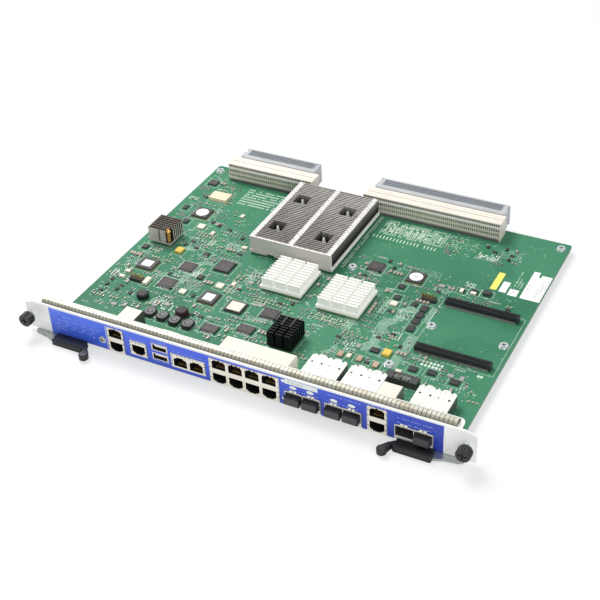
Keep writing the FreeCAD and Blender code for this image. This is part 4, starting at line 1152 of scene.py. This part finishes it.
def silkscreen(shape):
    # printed outlines round the parts, strokes beside the small ones, and strewn marks
    half, z = printLook["outline"] * mm, boardTop + printLook["thick"] * mm
    frames = [grown(room, 2.4) for room in packages]
    frames += [grown(plan(*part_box(node)), 1.6) for node in outlinedNodes]
    frames.append(plan(at(296.0, 87.5), at(365.0, 164.0)))
    for left, right, front, back in frames:
        for x0, x1, y0, y1 in ((left, right, front, front), (left, right, back, back),
                               (left, left, front, back), (right, right, front, back)):
            addBlock(shape, Vector((x0 - half, y0 - half, boardTop)),
                     Vector((x1 + half, y1 + half, z)))
    for x, y in laidParts[::2]:
        for dx in (-1.395, 1.395):
            p = at(x + dx, y)
            addBlock(shape, Vector((p.x - 0.08 * mm, p.y - 1.2 * mm, boardTop)),
                     Vector((p.x + 0.08 * mm, p.y + 1.2 * mm, z)))
    rng = random.Random(33)
    for k in range(printLook["strewn"]):
        x, y = rng.uniform(20, 360), rng.uniform(40, 270)
        busy = 1.0 - 0.6 * max(0.0, (x - 230) / 134) - 0.35 * (y / 270)
        if rng.random() > busy or not free(x, y, 0.4):
            continue
        if not any(abs(x - a) < 2.0 and abs(y - b) < 1.4 for a, b in laidParts):
            for step in range(rng.choice((2, 3, 4))):
                p = at(x, y) + Vector((step * 0.75 * mm, 0, 0))
                addBlock(shape, p, Vector((p.x + 0.45 * mm, p.y + 0.7 * mm, z)))


print("leads:", packageLeads())
partsThatStandAlone()
padRows()
meshPiece("board_dashes", dashes, "softPrint", "board")
meshPiece("board_traces", traces, "traceGreen", "board")
meshPiece("board_marks", marks, "whitePrint", "board")
laidParts = tinyParts()
print("small parts:", len(laidParts), "vias:", viaPads())
meshPiece("board_print", silkscreen, "whitePrint", "board")

# panel furniture

portLook = {
    "pitch": 14.25, "stacks": (86.3, 309.7), "block": 201.2, "floors": (-0.5, 10.7),
    "single": (107.3, 3.1), "double": (152.4, 1.4),          # middle and floor
    "wires": 8, "wirePitch": 1.02, "wireDepth": 2.4,
}


def portContacts():
    # gold wires in each modular port, on the side away from the latch
    pitch, block = portLook["pitch"], portLook["block"]
    lower, upper = portLook["floors"]
    columns = list(portLook["stacks"]) + [block + (k - 1.5) * pitch for k in range(4)]
    ports = [port for x in columns for port in ((x, lower, False), (x, upper, True))]
    ports.append((*portLook["single"], False))
    x, floor = portLook["double"]
    ports += [(x + k * pitch, floor, True) for k in (-0.5, 0.5)]
    points = []
    for x, floor, latchAbove in ports:
        for k in range(portLook["wires"]):
            left = x + (k - (portLook["wires"] - 1) / 2) * portLook["wirePitch"]
            height, turn = (0.2, 0.0) if latchAbove else (6.6, math.pi)
            points.append(sized(at(left, portLook["wireDepth"], floor + height), 0.3, 5, 2,
                                (0.0, turn, 0.0)))
    growPlain("port_contacts", "wire", points, "shadedGold", "contact_metal")


springRows = ((78.8, 93.8, 19.5), (172.7, 229.7, 19.5), (302.2, 317.2, 19.5),
              (139.0, 166.0, 12.8))                          # left, right, top
bayTongues = ((-5.6, 1.4, 1.5), (-3.7, 1.4, 1.8), (-1.5, 2.3, 3.4), (1.6, 2.3, 3.4),
              (3.9, 1.4, 1.8), (5.8, 1.4, 1.5))              # from the bay's middle, wide, tall
springLook = {"pitch": 3.6, "wide": 2.0, "thick": 1.6, "tall": 1.5, "bay": 7.2}


def jackSprings():
    # sprung tongues of the jack shells, and the taller tongues over each transceiver bay
    points = []
    for x0, x1, top in springRows:
        count = max(2, int((x1 - x0) / springLook["pitch"]))
        for k in range(count):
            points.append(sized(at(x0 + (k + 0.5) * (x1 - x0) / count, -0.3, top - 0.9),
                                springLook["wide"], springLook["thick"], springLook["tall"]))
    for k in range(5):
        points.append(sized(at(101.6 + k * 2.85, -0.3, 12.2), 1.7, 2.0, 2.2))
    for centre in cageMiddles:
        for bay in (-springLook["bay"], springLook["bay"]):
            for dx, wide, tall in bayTongues:
                points.append(sized(at(centre + bay + dx, -0.75, 9.5), wide, 2.2, tall))
    growPlain("shell_springs", "claw", points, "springTin", "contact_metal")


notchedShells = ((78.9, 93.7, -3.2, 19.3), (171.8, 230.6, -3.2, 19.3),
                 (302.3, 317.1, -3.2, 19.3), (99.8, 114.8, 0.2, 12.6),
                 (137.5, 167.3, 0.2, 12.6))                  # left, right, foot, top


def shellNotches(shape):
    # dark notches where the shells' side tongues are cut free
    for x0, x1, z0, z1 in notchedShells:
        for share in (0.18, 0.4, 0.62, 0.84):
            z = z0 + share * (z1 - z0)
            for x in (x0 + 0.15, x1 - 0.85):
                addBlock(shape, at(x, -0.33, z), at(x + 0.7, -0.3, z + 1.1))
        for x in steps(x0 + 1.4, x1 - 1.6, 3.56):
            addBlock(shape, at(x, -0.33, z1 - 0.75), at(x + 0.9, -0.3, z1 - 0.1))


coilLook = {                # wide, tall, turns, and the wire's share of the width
    "knob": (8.2, 2.4, 2.6, 0.055),
    "pin": (3.9, 7.0, 5.5, 0.09),
    "knobAhead": 4.75,      # from the panel's front face
    "pinFoot": 4.5,         # above the board
}


def growCoils(name, kind, places, material, body="card", turn=(0.0, 0.0, 0.0)):
    wide, tall, turns, wire = coilLook[kind]
    grow(name, "coil", [sized(place, wide, wide, tall, turn) for place in places],
         {"turns": turns, "wire": wire, "metal": material}, "screw_metal", body)


def knobSprings():
    for side in ("left", "right"):
        middle = across("captive_screw_" + side)[2]
        place = Vector((middle.x, panelLow.y - coilLook["knobAhead"] * mm, middle.z))
        growCoils("knob_spring_" + side, "knob", [place], "screwZinc", "screw_" + side,
                  (-math.pi / 2, 0.0, 0.0))


def pinSprings():
    growCoils("pin_springs", "pin", [at(x, y, coilLook["pinFoot"]) for x, y in pinPlaces],
              "solderTin")


filmFace = -0.3
lensLook = {"radius": 0.85, "flat": 0.35}
lensPlaces = {
    "glow": ("lensPale", ((32.6, 12.2), (31.0, 8.3), (39.7, 8.6), (48.0, 8.4), (55.8, 8.3),
                          (64.1, 8.4), (30.8, 3.6), (64.9, 4.1))),
    "glowRed": ("lensRed", ((32.6, 15.8),)),
}


def lenses():
    for kind, (material, places) in lensPlaces.items():
        def domes(shape, places=places):
            for x, z in places:
                made = bmesh.ops.create_uvsphere(shape, u_segments=14, v_segments=8,
                                                 radius=lensLook["radius"] * mm)
                centre = at(x, filmFace, z)
                for v in made["verts"]:
                    v.co = Vector((v.co.x, v.co.y * lensLook["flat"], v.co.z)) + centre
        meshPiece("lenses_" + kind, domes, material, "cream_plastic")


def flat(shape, x0, x1, z0, z1, lift=0.03):
    addBlock(shape, at(x0, filmFace - lift, z0), at(x1, filmFace, z1))


def oval(shape, x, z, wide, tall, lift=0.035):
    turns = [2 * math.pi * k / 20 for k in range(20)]
    shape.faces.new([shape.verts.new(at(x + math.cos(a) * wide / 2, filmFace - lift,
                                        z + math.sin(a) * tall / 2)) for a in turns])


def rowOfMarks(shape, first, last, z, tall, widths, gaps, bare=(), lift=0.03):
    # marks of chance width, left out over the ports
    x = first
    while x < last:
        wide = inkDice.choice(widths)
        if not any(left < x < right and z < top for left, right, top in bare):
            flat(shape, x, x + wide, z, z + tall, lift)
        x += wide + inkDice.choice(gaps)


inkDice = random.Random(8)
portFields = ((78, 94.5, 20.5), (99, 115.5, 13.8), (119.6, 134.8, 18.6), (136.6, 168.2, 13.8),
              (171.6, 231.0, 20.5), (234.8, 265.4, 10.8), (267.5, 298.2, 10.8),
              (301.4, 318.0, 20.5), (322.6, 353.2, 10.8))    # left, right, top
portMarks = ((81, 92, 20.8), (100, 114, 14.9), (121, 133.4, 19.4), (139, 166, 15.0),
             (303, 316, 20.8), (325, 352, 12.4), (325, 352, 16.6), (238, 262, 12.0),
             (270, 296, 12.0), (270, 296, 18.4))             # left, right, height
lensMarks = ((26.5, 33, 19.6), (36, 44, 15.8), (36, 42, 12.2), (46, 51, 12.4), (54, 58, 12.3),
             (62, 67, 12.2), (34, 38, 6.0), (43, 47, 5.9), (51, 55, 5.8), (59, 63, 5.8),
             (68, 72, 12.0), (34, 40, 3.4))


def filmPrint(shape):
    # a bare label, ovals over the bays, and rules
    flat(shape, 236.1, 263.0, 17.3, 21.4)
    for x, z in ((242.8, 14.9), (256.8, 15.1), (275.8, 14.5), (289.9, 14.5)):
        oval(shape, x, z, 6.0, 3.0)
    flat(shape, 25.0, 359.0, 21.75, 21.95)
    flat(shape, 77.4, 77.75, -1.5, 20.0)
    for z in (1.0, 17.8):
        flat(shape, 233.2, 236.0, z, z + 2.6)


def filmMarks(shape):
    # paler rows of small bare marks over the ports and beside the indicator lights
    for x0, x1, z in portMarks:
        rowOfMarks(shape, x0, x1, z, 0.75, (0.5, 0.8, 1.2), (0.5, 0.9, 1.8), portFields)
    for x0, x1, z in lensMarks:
        rowOfMarks(shape, x0, x1, z, 0.6, (0.45, 0.7, 0.9), (0.3, 0.5, 0.7))


def busFilm(shape):
    # film between and round the two bus ports
    low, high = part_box("bus_ports")
    for z0, z1 in ((0.8, 1.9), (8.2, 10.7), (17.0, 17.8)):
        flat(shape, fromLeft(low.x), fromLeft(high.x), z0, z1)


def labelInk(shape):
    for z in (18.7, 19.7):
        rowOfMarks(shape, 238.5, 250.0, z, 0.3, (0.6, 1.1, 1.7), (0.4, 0.8), lift=0.045)


# labels, stickers and marks

stickerLook = {            # material and corners
    "yellow_sticker": ("stickerYellow", ((324.3, 192.8), (329.8, 192.8), (329.8, 218.0),
                                         (324.3, 218.0))),
    "narrow_sticker": ("stickerWhite", ((332.0, 192.0), (338.0, 192.0), (338.0, 207.0),
                                        (332.0, 207.0))),
    "square_sticker": ("stickerWhite", ((340.0, 190.3), (347.7, 190.3), (347.7, 199.3),
                                        (340.0, 199.3))),
    "large_sticker": ("stickerWhite", ((350.6, 190.0), (367.2, 190.0), (367.2, 227.0),
                                       (358.4, 227.0), (358.4, 223.4), (356.0, 223.4),
                                       (356.0, 230.4), (350.6, 230.4))),
}


def stickers():
    for name, (material, corners) in stickerLook.items():
        def build(shape, corners=corners):
            top = [shape.verts.new(at(x, y, 0.09)) for x, y in corners]
            foot = [shape.verts.new(at(x, y, 0.0)) for x, y in corners]
            shape.faces.new(top)
            for k in range(len(corners)):
                n = (k + 1) % len(corners)
                shape.faces.new((foot[k], foot[n], top[n], top[k]))
        meshPiece(name, build, material, "film")


labelLook = {
    "round": {"round_label_chip_left": 5.9, "round_label_chip_right": 5.8},   # radius
    "square": {"square_chip": 0.27, "white_label_chip": 0.28},    # half its side, of the chip's
    "thick": 0.07,
}


def chipLabels(shape):
    for node, radius in labelLook["round"].items():
        high, middle = across(node)[1:]
        spot = middle - at(0, 0)
        addDisc(shape, spot.x / mm, spot.y / mm, (high.z - boardTop) / mm + 0.05, radius)
    for node, share in labelLook["square"].items():
        low, high, middle = across(node)
        half = (high - low) * share
        addBlock(shape, Vector((middle.x - half.x, middle.y - half.y, high.z)),
                 Vector((middle.x + half.x, middle.y + half.y,
                         high.z + labelLook["thick"] * mm)))


def creamLabel(shape):
    addBlock(shape, at(139.6, 78.8, 2.0), at(151.8, 90.0, 2.12))


filterLook = {"half": 4.3, "foot": 0.1, "top": 3.41, "edge": 0.5, "ringTop": 3.44,
              "outer": (4.2, 4.1), "inner": (3.7, 3.6)}
filterMarks = ((-1.6, 0.6), (-0.2, 0.9), (1.2, 0.7), (-1.2, -1.2), (0.4, -1.0))


def filterLids(shape):
    # eight-sided ring and a few bare marks on each filter module
    turns = [math.pi * (k + 0.5) / 4 for k in range(8)]
    for x, y in filterPlaces:
        outer, inner = ([shape.verts.new(at(x + wide * math.cos(a), y + deep * math.sin(a),
                                            filterLook["ringTop"])) for a in turns]
                        for wide, deep in (filterLook["outer"], filterLook["inner"]))
        for k in range(8):
            n = (k + 1) % 8
            shape.faces.new((outer[k], outer[n], inner[n], inner[k]))
        for dx, dy in filterMarks:
            addBlock(shape, at(x + dx, y + dy, 3.41), at(x + dx + 0.9, y + dy + 1.2, 3.45))


def filterCases(shape):
    half = filterLook["half"]
    for x, y in filterPlaces:
        addBlock(shape, at(x - half, y - half, filterLook["foot"]),
                 at(x + half, y + half, filterLook["top"]), filterLook["edge"] * mm)


def wellShade(shape):
    # sunk middles of the coil and the beeper, painted dark as shade
    addDisc(shape, 110.2, 58.2, 6.03, 2.9)
    addDisc(shape, 66.6, 66.8, 4.63, 1.7)


def brokenLine(rng, first, last, shortest, longest, gap, missing):
    # start and length of the strokes of a row
    while first < last:
        long = rng.uniform(shortest, longest)
        if rng.random() > missing:
            yield first, long
        first += long + gap


def chipMarks(shape):
    # rows of faint marks on the larger packages
    rng = random.Random(97)
    for left, right, front, back, top in packages:
        wide, deep = right - left, back - front
        if min(wide, deep) < 8 * mm:
            continue
        for row in range(3):
            y = front + deep * (0.3 + 0.18 * row)
            for x, long in brokenLine(rng, left + wide * 0.2, right - wide * 0.22, 0.8 * mm,
                                      1.8 * mm, 0.5 * mm, 0.2):
                addBlock(shape, Vector((x, y, top)),
                         Vector((x + long, y + 0.9 * mm, top + 0.02 * mm)))


stickerColumns = ((352.6, 198.0, 222.0), (361.2, 194.0, 222.0), (363.4, 196.0, 218.0),
                  (365.4, 193.0, 224.0), (343.0, 192.4, 197.0))      # left, front, back


def stickerMarks(shape):
    # faint columns of marks on the stickers, and two strokes on each round label
    rng = random.Random(52)
    for x, front, back in stickerColumns:
        for y, long in brokenLine(rng, front, back, 0.7, 2.2, 0.8, 0.35):
            addBlock(shape, at(x, y, 0.08), at(x + 0.8, y + long, 0.11))
    for node in labelLook["round"]:
        high, middle = across(node)[1:]
        for dx in (-1.5, 0.3):
            foot = Vector((middle.x + dx * mm, middle.y - 2.0 * mm, high.z + 0.05 * mm))
            addBlock(shape, foot, foot + Vector((0.9 * mm, 3.4 * mm, 0.03 * mm)))


def sidePrint(shape):
    # columns of print beside the stickers
    rng = random.Random(58)
    for x, front, back in ((341.6, 203.0, 225.0), (344.4, 203.0, 216.0), (346.6, 202.0, 212.0)):
        for y in steps(front, back, 1.5):
            addBlock(shape, at(x, y, 0.0),
                     at(x + rng.uniform(0.4, 1.4), y + rng.uniform(0.4, 1.1), 0.02))


crossLook = {"turn": 0.5, "half": 2.1, "halfWide": 0.36}


def screwCrosses(shape):
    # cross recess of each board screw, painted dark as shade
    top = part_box("board_screws")[1].z + 0.02 * mm
    half, wide = crossLook["half"], crossLook["halfWide"]
    for x, y in screwPlaces:
        centre = at(x, y)
        for turn in (crossLook["turn"], crossLook["turn"] + math.pi / 2):
            c, s = math.cos(turn), math.sin(turn)
            shape.faces.new([shape.verts.new((centre.x + (u * c - v * s) * mm,
                                              centre.y + (u * s + v * c) * mm, top))
                             for u, v in ((-half, -wide), (half, -wide), (half, wide),
                                          (-half, wide))])


coreLook = {"rows": (-1.5, -0.3, 0.9), "dashes": 11, "pitch": 1.2, "share": 0.8,
            "dash": (0.7, 0.35, 0.02)}


def coreMarks(shape):
    # plain dashes on the transformer
    rng = random.Random(71)
    high, middle = across("transformer")[1:]
    dash = Vector([side * mm for side in coreLook["dash"]])
    for row in coreLook["rows"]:
        for k in range(coreLook["dashes"]):
            if rng.random() < coreLook["share"]:
                x = middle.x + (k - coreLook["dashes"] // 2) * coreLook["pitch"] * mm
                foot = Vector((x, middle.y + row * mm, high.z))
                addBlock(shape, foot, foot + dash)


ringLook = {"radius": 4.2, "sides": 28, "level": 0.02}


def groundRings(shape):
    # plated ring round each board screw
    for x, y in screwPlaces:
        made = bmesh.ops.create_circle(shape, cap_ends=True, segments=ringLook["sides"],
                                        radius=ringLook["radius"] * mm)
        centre = at(x, y, ringLook["level"])
        for v in made["verts"]:
            v.co = Vector((v.co.x + centre.x, v.co.y + centre.y, centre.z))


windingLook = {"grown": 1.02, "tall": 0.66, "foot": 0.5, "turns": 6.0, "wire": 0.04}


def windings():
    # turns of wire round the beeper's coil
    low, high, middle = across("beeper")
    look = windingLook
    wide, tall = (high.x - low.x) * look["grown"] / mm, (high.z - low.z) * look["tall"] / mm
    place = Vector((middle.x, middle.y, low.z + look["foot"] * mm))
    grow("winding_wire", "coil", [sized(place, wide, wide, tall)],
         {"turns": look["turns"], "wire": look["wire"], "metal": "redCase"}, "red_plastic")


portContacts()
jackSprings()
meshPiece("shell_notches", shellNotches, "jackInside", "jack_shell")
knobSprings()
pinSprings()
lenses()
meshPiece("film_print", filmPrint, "whitePrint", "film")
meshPiece("film_marks", filmMarks, "paleInk", "film")
meshPiece("bus_film", busFilm, "filmBlue", "film")
meshPiece("label_ink", labelInk, "chipDark", "film")
stickers()
meshPiece("chip_labels", chipLabels, "labelWhite", "film")
meshPiece("cream_label", creamLabel, "creamMoulding", "film")
meshPiece("filter_lids", filterLids, "moduleGrey", "sink_metal")
meshPiece("filter_cases", filterCases, "chipDark", "chip_plastic")
meshPiece("well_shade", wellShade, "jackInside", "chip_plastic")
meshPiece("chip_marks", chipMarks, "chipMark", "film")
meshPiece("sticker_marks", stickerMarks, "markGrey", "film")
meshPiece("side_print", sidePrint, "softPrint", "board")
meshPiece("screw_crosses", screwCrosses, "sideMetal", "screw_metal")
meshPiece("core_marks", coreMarks, "softPrint", "film")
meshPiece("ground_rings", groundRings, "solderTin", "screw_metal")
windings()
print("panel furniture done")

# backplane connectors

rearLook = {
    "pitch": 1.95, "rows": 3, "rowStep": 3.1, "firstRow": 283.1, "slot": 0.85,
    "front": 260.3, "top": 17.7,
    "tiers": ((0.1, 2.7), (5.6, 7.4), (10.0, 12.2)),   # combs on the front, by height
    "comb": 2.5,                                       # comb along the top edge
}


def rearDetails():
    # rows of holes in the shrouds, and the wafers' leads with dark slots between them
    pitch, slot, front, top = (rearLook[key] for key in ("pitch", "slot", "front", "top"))
    holes, leads, slots, dots, skirts, bands, seams = ([] for k in range(7))
    for side in ("left", "right"):
        low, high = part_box("backplane_shroud_" + side)
        rim = (high.z - boardTop) / mm
        for x in steps(fromLeft(low.x) + 5.5, fromLeft(high.x) - 5.5, pitch):
            for row in range(rearLook["rows"]):
                y = rearLook["firstRow"] + row * rearLook["rowStep"]
                holes.append(onto(x + (row % 2) * 0.9, y, rim - 0.62, 1.1, 2.2, 0.3, -12))
        low, high, middle = across("backplane_body_" + side)
        for x in steps(fromLeft(low.x) + 1.4, fromLeft(high.x) - 1.2, pitch):
            for foot, head in rearLook["tiers"]:
                slots.append(onto(x, front + 0.15, foot, slot, 0.3, head - foot))
                leads.append(onto(x + pitch / 2, front, foot - 0.3, 0.7, 0.5, head - foot + 0.7))
            slots.append(onto(x, front + 0.7, top - rearLook["comb"], slot, 1.4,
                              rearLook["comb"] + 0.03))
            dots.append(onto(x, 264.6, top, 0.7, 1.0, 0.02))
            dots.append(onto(x, 271.6, top, 0.7, 1.6, 0.02))
        wide = (high.x - low.x) / mm - 1.0
        # painted shade in a dark strip along each body's foot, a painted highlight in a pale band
        # near its top, and a seam along the top
        for made, back, foot, tall in ((skirts, -0.25, 0.1, 2.5), (bands, -0.25, 13.6, 1.0),
                                       (seams, 7.6, 17.72, 0.02)):
            place = Vector((middle.x, low.y + back * mm, boardTop + foot * mm))
            made.append(sized(place, wide, 0.5, tall))
        for step in range(5):
            for y in (263.2, 267.6, 272.0):
                dots.append(onto(fromLeft(high.x) - 0.02, y, 2.2 + step * 3.1, 0.1, 2.4, 0.55))
    for name, points, material, slot in (
            ("pin_holes", holes, "pinHole", "grey_plastic"),
            ("leads", leads, "springTin", "cream_plastic"),
            ("skirts", skirts, "skirtGrey", "grey_plastic"),
            ("bands", bands, "labelWhite", "cream_plastic"),
            ("seams", seams, "skirtGrey", "grey_plastic"),
            ("slots", slots, "jackInside", "grey_plastic"),
            ("dots", dots, "greyMoulding", "grey_plastic")):
        growPlain("rear_" + name, "pin", points, material, slot)


# under the board

jointFields = (            # left, front, right, back, step
    (46, 262, 122, 278, 2.4), (187, 262, 304, 278, 2.4), (176, 18, 226, 30, 2.6),
    (80, 18, 92, 30, 2.2), (303, 18, 316, 30, 2.2), (100, 8, 168, 18, 2.6),
    (236, 8, 352, 40, 4.4), (43, 82, 56, 88, 2.54), (279, 155, 291, 160, 2.54),
)
undersideLook = {"joint": (1.1, 1.1, 0.55), "missing": 0.1, "part": (2.0, 1.3, 0.8), "parts": 170}


def underside():
    rng = random.Random(17)

    def hung(x, y, size, turn=0.0):
        place = at(x, y)
        return sized(Vector((place.x, place.y, boardLow.z)), *size, (math.pi, 0.0, turn))

    joints = []
    for left, front, right, back, step in jointFields:
        for x, y in grid(left, front, right, back, step, step):
            if rng.random() > undersideLook["missing"]:
                joints.append(hung(x, y, undersideLook["joint"]))
    growPlain("solder_joints", "pin", joints, "solderTin", "screw_metal")
    chips = []
    for k in range(undersideLook["parts"]):
        x, y = rng.uniform(24, 360), rng.uniform(40, 255)
        chips.append(hung(x, y, undersideLook["part"], rng.choice((0.0, math.pi / 2))))
    grow("underside_parts", "capped", chips, {"body": "tanCeramic", "ends": "solderTin"},
         "chip_plastic")


# fins, cages and mezzanine connectors

finLook = {"first": 162.8, "last": 257.0, "pitch": 2.617, "fin": 1.0, "webPitch": 6.1,
           "webLong": 3.9, "lean": 0.35, "left": 117.6, "right": 195.0, "foot": 4.4,
           "sheetStep": 1.2, "sheet": (1.22, 0.3, 12.6), "webTall": 12.25}
sinkLow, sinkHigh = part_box("main_sink")


def inPocket(x, y, reach):
    return any(abs(x - px) < 6.5 + reach and abs(y - py) < 6.85 for px, py in pinPlaces)


def finFill():
    # thin sheets between the fins, joined by short webs whose rows lean back and to the right
    sheets, webs = [], []
    gap, long = finLook["pitch"] - finLook["fin"], finLook["webLong"]
    foot, pitch, half = finLook["foot"], finLook["webPitch"], finLook["sheetStep"] / 2
    for y in steps(finLook["first"] + finLook["fin"], finLook["last"] - gap, finLook["pitch"]):
        middle = y + gap / 2
        first = finLook["left"] + (middle * finLook["lean"]) % pitch
        for x in steps(finLook["left"] + 0.4, finLook["right"] - 0.4, finLook["sheetStep"]):
            if (x + half - first) % pitch < long and not inPocket(x + half, middle, half):
                sheets.append(onto(x + half, middle, foot, *finLook["sheet"]))
        for x in steps(first, finLook["right"] - long, pitch):
            if not inPocket(x + long / 2, middle, 2.2):
                webs.append(onto(x + long / 2, middle, foot, long, gap, finLook["webTall"]))
    growPlain("fin_sheets", "pin", sheets, "finMetal", "sink_metal")
    growPlain("fin_webs", "pin", webs, "finMetal", "sink_metal")


cageLook = {
    "large": ((-11.4, 1.9), (-3.4, 2.1), (2.9, 1.3), (11.2, 2.1)),   # from the middle, wide
    "largeRow": 38.6, "small": 6, "top": 9.8, "thick": 0.02,
    "tabs": 7, "tabPitch": 4.05, "tabRow": 47.5, "tabFoot": 7.2, "tab": (2.4, 1.9, 2.5),
}


def cageHoles():
    # round holes in the tops of the cages, and the tabs along their rear edges
    holes, tabs = [], []

    def hole(x, y, wide):
        holes.append(onto(x, y, cageLook["top"], wide, wide, cageLook["thick"]))

    for centre in cageMiddles:
        for dx, wide in cageLook["large"]:
            hole(centre + dx, cageLook["largeRow"], wide)
        for k in range(cageLook["small"]):
            hole(centre - 12.0 + k * 4.7, 20.0 + (k % 2) * 6, 0.8)
            hole(centre - 10.6 + k * 4.2, 44.8, 0.7)
        for k in range(cageLook["tabs"]):
            tabs.append(onto(centre - 12.2 + k * cageLook["tabPitch"], cageLook["tabRow"],
                             cageLook["tabFoot"], *cageLook["tab"]))
    grow("cage_holes", "disc", holes, {"sides": 14, "rim": "jackInside",
                                       "middle": "jackInside"}, "cage_metal")
    growPlain("cage_crown", "pin", tabs, "cagePlate", "cage_metal")


ribLook = {"pitch": 1.6, "rows": (-2.1, 0.0, 2.1), "flanks": (-2.95, 2.95), "flankTall": 3.2}


def mezzanineRibs():
    points = []
    for node in mezzanines:
        low, high, middle = across(node)
        for x in steps(low.x + 1.2 * mm, high.x - 1.0 * mm, ribLook["pitch"] * mm):
            for dy in ribLook["rows"]:
                points.append(sized(Vector((x, middle.y + dy * mm, high.z)), 0.75, 1.3, 0.7))
            for dy in ribLook["flanks"]:
                foot = high.z - ribLook["flankTall"] * mm
                points.append(sized(Vector((x, middle.y + dy * mm, foot)), 0.8, 0.3,
                                    ribLook["flankTall"]))
    growPlain("mezzanine_ribs", "pin", points, "toothBlack", "black_plastic")


ridgeLook = {"pitch": 1.3, "flanks": (195.0, 117.4), "foot": 2.5, "size": (0.6, 0.45, 11.2)}


def sinkRidges():
    # fine upright ridges on the two flanks of the brazed fin block
    points = []
    foot = sinkLow.z + ridgeLook["foot"] * mm
    for y in steps(sinkLow.y + 3.4 * mm, sinkHigh.y - 0.6 * mm, ridgeLook["pitch"] * mm):
        for x in ridgeLook["flanks"]:
            points.append(sized(Vector((at(x, 0).x, y, foot)), *ridgeLook["size"]))
    growPlain("sink_ridges", "pin", points, "finMetal", "sink_metal")


barLook = {"lefts": (117.2, 153.9, 190.6), "edges": (1.1, 3.5), "pitch": 2.9, "top": 17.4,
           "mark": (0.55, 1.5, 0.02), "turn": -35}


def barMarks():
    # slanted slots along both edges of the three strips on the fins
    points = []
    for left in barLook["lefts"]:
        for y in steps(163.0, 256.5, barLook["pitch"]):
            for dx in barLook["edges"]:
                points.append(onto(left + dx, y + dx * 0.3, barLook["top"], *barLook["mark"],
                                   barLook["turn"]))
    growPlain("bar_marks", "pin", points, "mezzanineGrey", "sink_metal")


rearDetails()
underside()
finFill()
cageHoles()
mezzanineRibs()
sinkRidges()
barMarks()
print("small detail done")

# surroundings

studio = {
    "floorSize": 12.0,
    "floorGap": 0.0001,          # keeps the floor clear of the faces that rest on it
    "floorShare": 0.55,          # how much the floor shows as plain backdrop
    "floorGlow": 1.03,
    "air": 0.52,
    "keyPower": 28.0,
    "keySize": 0.8,
    "keyPlace": (-0.9, 0.5, 1.5),
    "fillPower": 18.0,
    "fillPlace": (1.1, -1.3, 0.9),
    "fillSize": 1.6,
}
camera = {
    "azimuth": 28.93,
    "elevation": 36.41,
    "roll": -3.04,
    "distance": 0.983,
    "target": (-0.0035, -0.0210, 0.0063),
    "lens": 71.82,
}


def floorPaint():
    paint = Paint("floorPale", (0.8, 0.8, 0.8, 1.0), 0.3)
    paint.feed("Base Color", paint.mottle(4.0, 0.01))
    seen = paint.add("ShaderNodeLightPath", None, None, "Is Camera Ray")
    glow = paint.add("ShaderNodeEmission", None, {"Color": (1, 1, 1, 1),
                                                  "Strength": studio["floorGlow"]})
    output = paint.tree.nodes["Material Output"]
    mix = paint.add("ShaderNodeMixShader", None, {0: seen * studio["floorShare"],
                                                  1: Wire(paint, paint.shader.outputs[0]),
                                                  2: glow})
    paint.tree.links.new(mix.socket, output.inputs["Surface"])
    return paint.material


def surroundings():
    half = studio["floorSize"] / 2
    mesh = bpy.data.meshes.new("floor")
    level = -studio["floorGap"]
    mesh.from_pydata([(-half, -half, level), (half, -half, level), (half, half, level),
                      (-half, half, level)], [], [(0, 1, 2, 3)])
    mesh.materials.append(floorPaint())
    floor = bpy.data.objects.new("floor", mesh)
    bpy.context.scene.collection.objects.link(floor)

    world = bpy.data.worlds.new("surroundings")
    bpy.context.scene.world = world
    world.use_nodes = True
    graph = Graph(world.node_tree)
    air = world.node_tree.nodes["Background"]
    air.inputs["Color"].default_value = (0.93, 0.96, 1.0, 1.0)
    air.inputs["Strength"].default_value = studio["air"]
    path = graph.add("ShaderNodeLightPath")
    seen = path.pin("Is Camera Ray") + path.pin("Is Transmission Ray")
    backdrop = graph.add("ShaderNodeBackground", None, {"Color": (1, 1, 1, 1), "Strength": 1.0})
    mix = graph.add("ShaderNodeMixShader", None, {0: seen, 1: Wire(graph, air.outputs[0]),
                                                  2: backdrop})
    world.node_tree.links.new(mix.socket, world.node_tree.nodes["World Output"].inputs["Surface"])

    for name in ("key", "fill"):
        light = bpy.data.lights.new(name, "AREA")
        light.energy = studio[name + "Power"]
        light.size = studio[name + "Size"]
        lamp = bpy.data.objects.new(name, light)
        place = Vector(studio[name + "Place"])
        lamp.matrix_world = (Matrix.Translation(place)
                             @ (-place).to_track_quat("-Z", "Y").to_matrix().to_4x4())
        bpy.context.scene.collection.objects.link(lamp)


def placeCamera():
    a, e = math.radians(camera["azimuth"]), math.radians(camera["elevation"])
    away = Vector((math.sin(a) * math.cos(e), -math.cos(a) * math.cos(e), math.sin(e)))
    right = Vector((math.cos(a), math.sin(a), 0.0))
    up = away.cross(right)
    turn = Matrix.Rotation(math.radians(camera["roll"]), 3, away)
    right, up = turn @ right, turn @ up
    lens = bpy.data.cameras.new("view")
    lens.lens = camera["lens"]
    lens.sensor_width = 36.0
    seen = bpy.data.objects.new("view", lens)
    place = Vector(camera["target"]) + away * camera["distance"]
    facing = Matrix((right, up, away)).transposed().to_4x4()
    seen.matrix_world = Matrix.Translation(place) @ facing
    bpy.context.scene.collection.objects.link(seen)
    bpy.context.scene.camera = seen
    bpy.context.scene.view_settings.view_transform = "Standard"


surroundings()
placeCamera()
print("scene done")
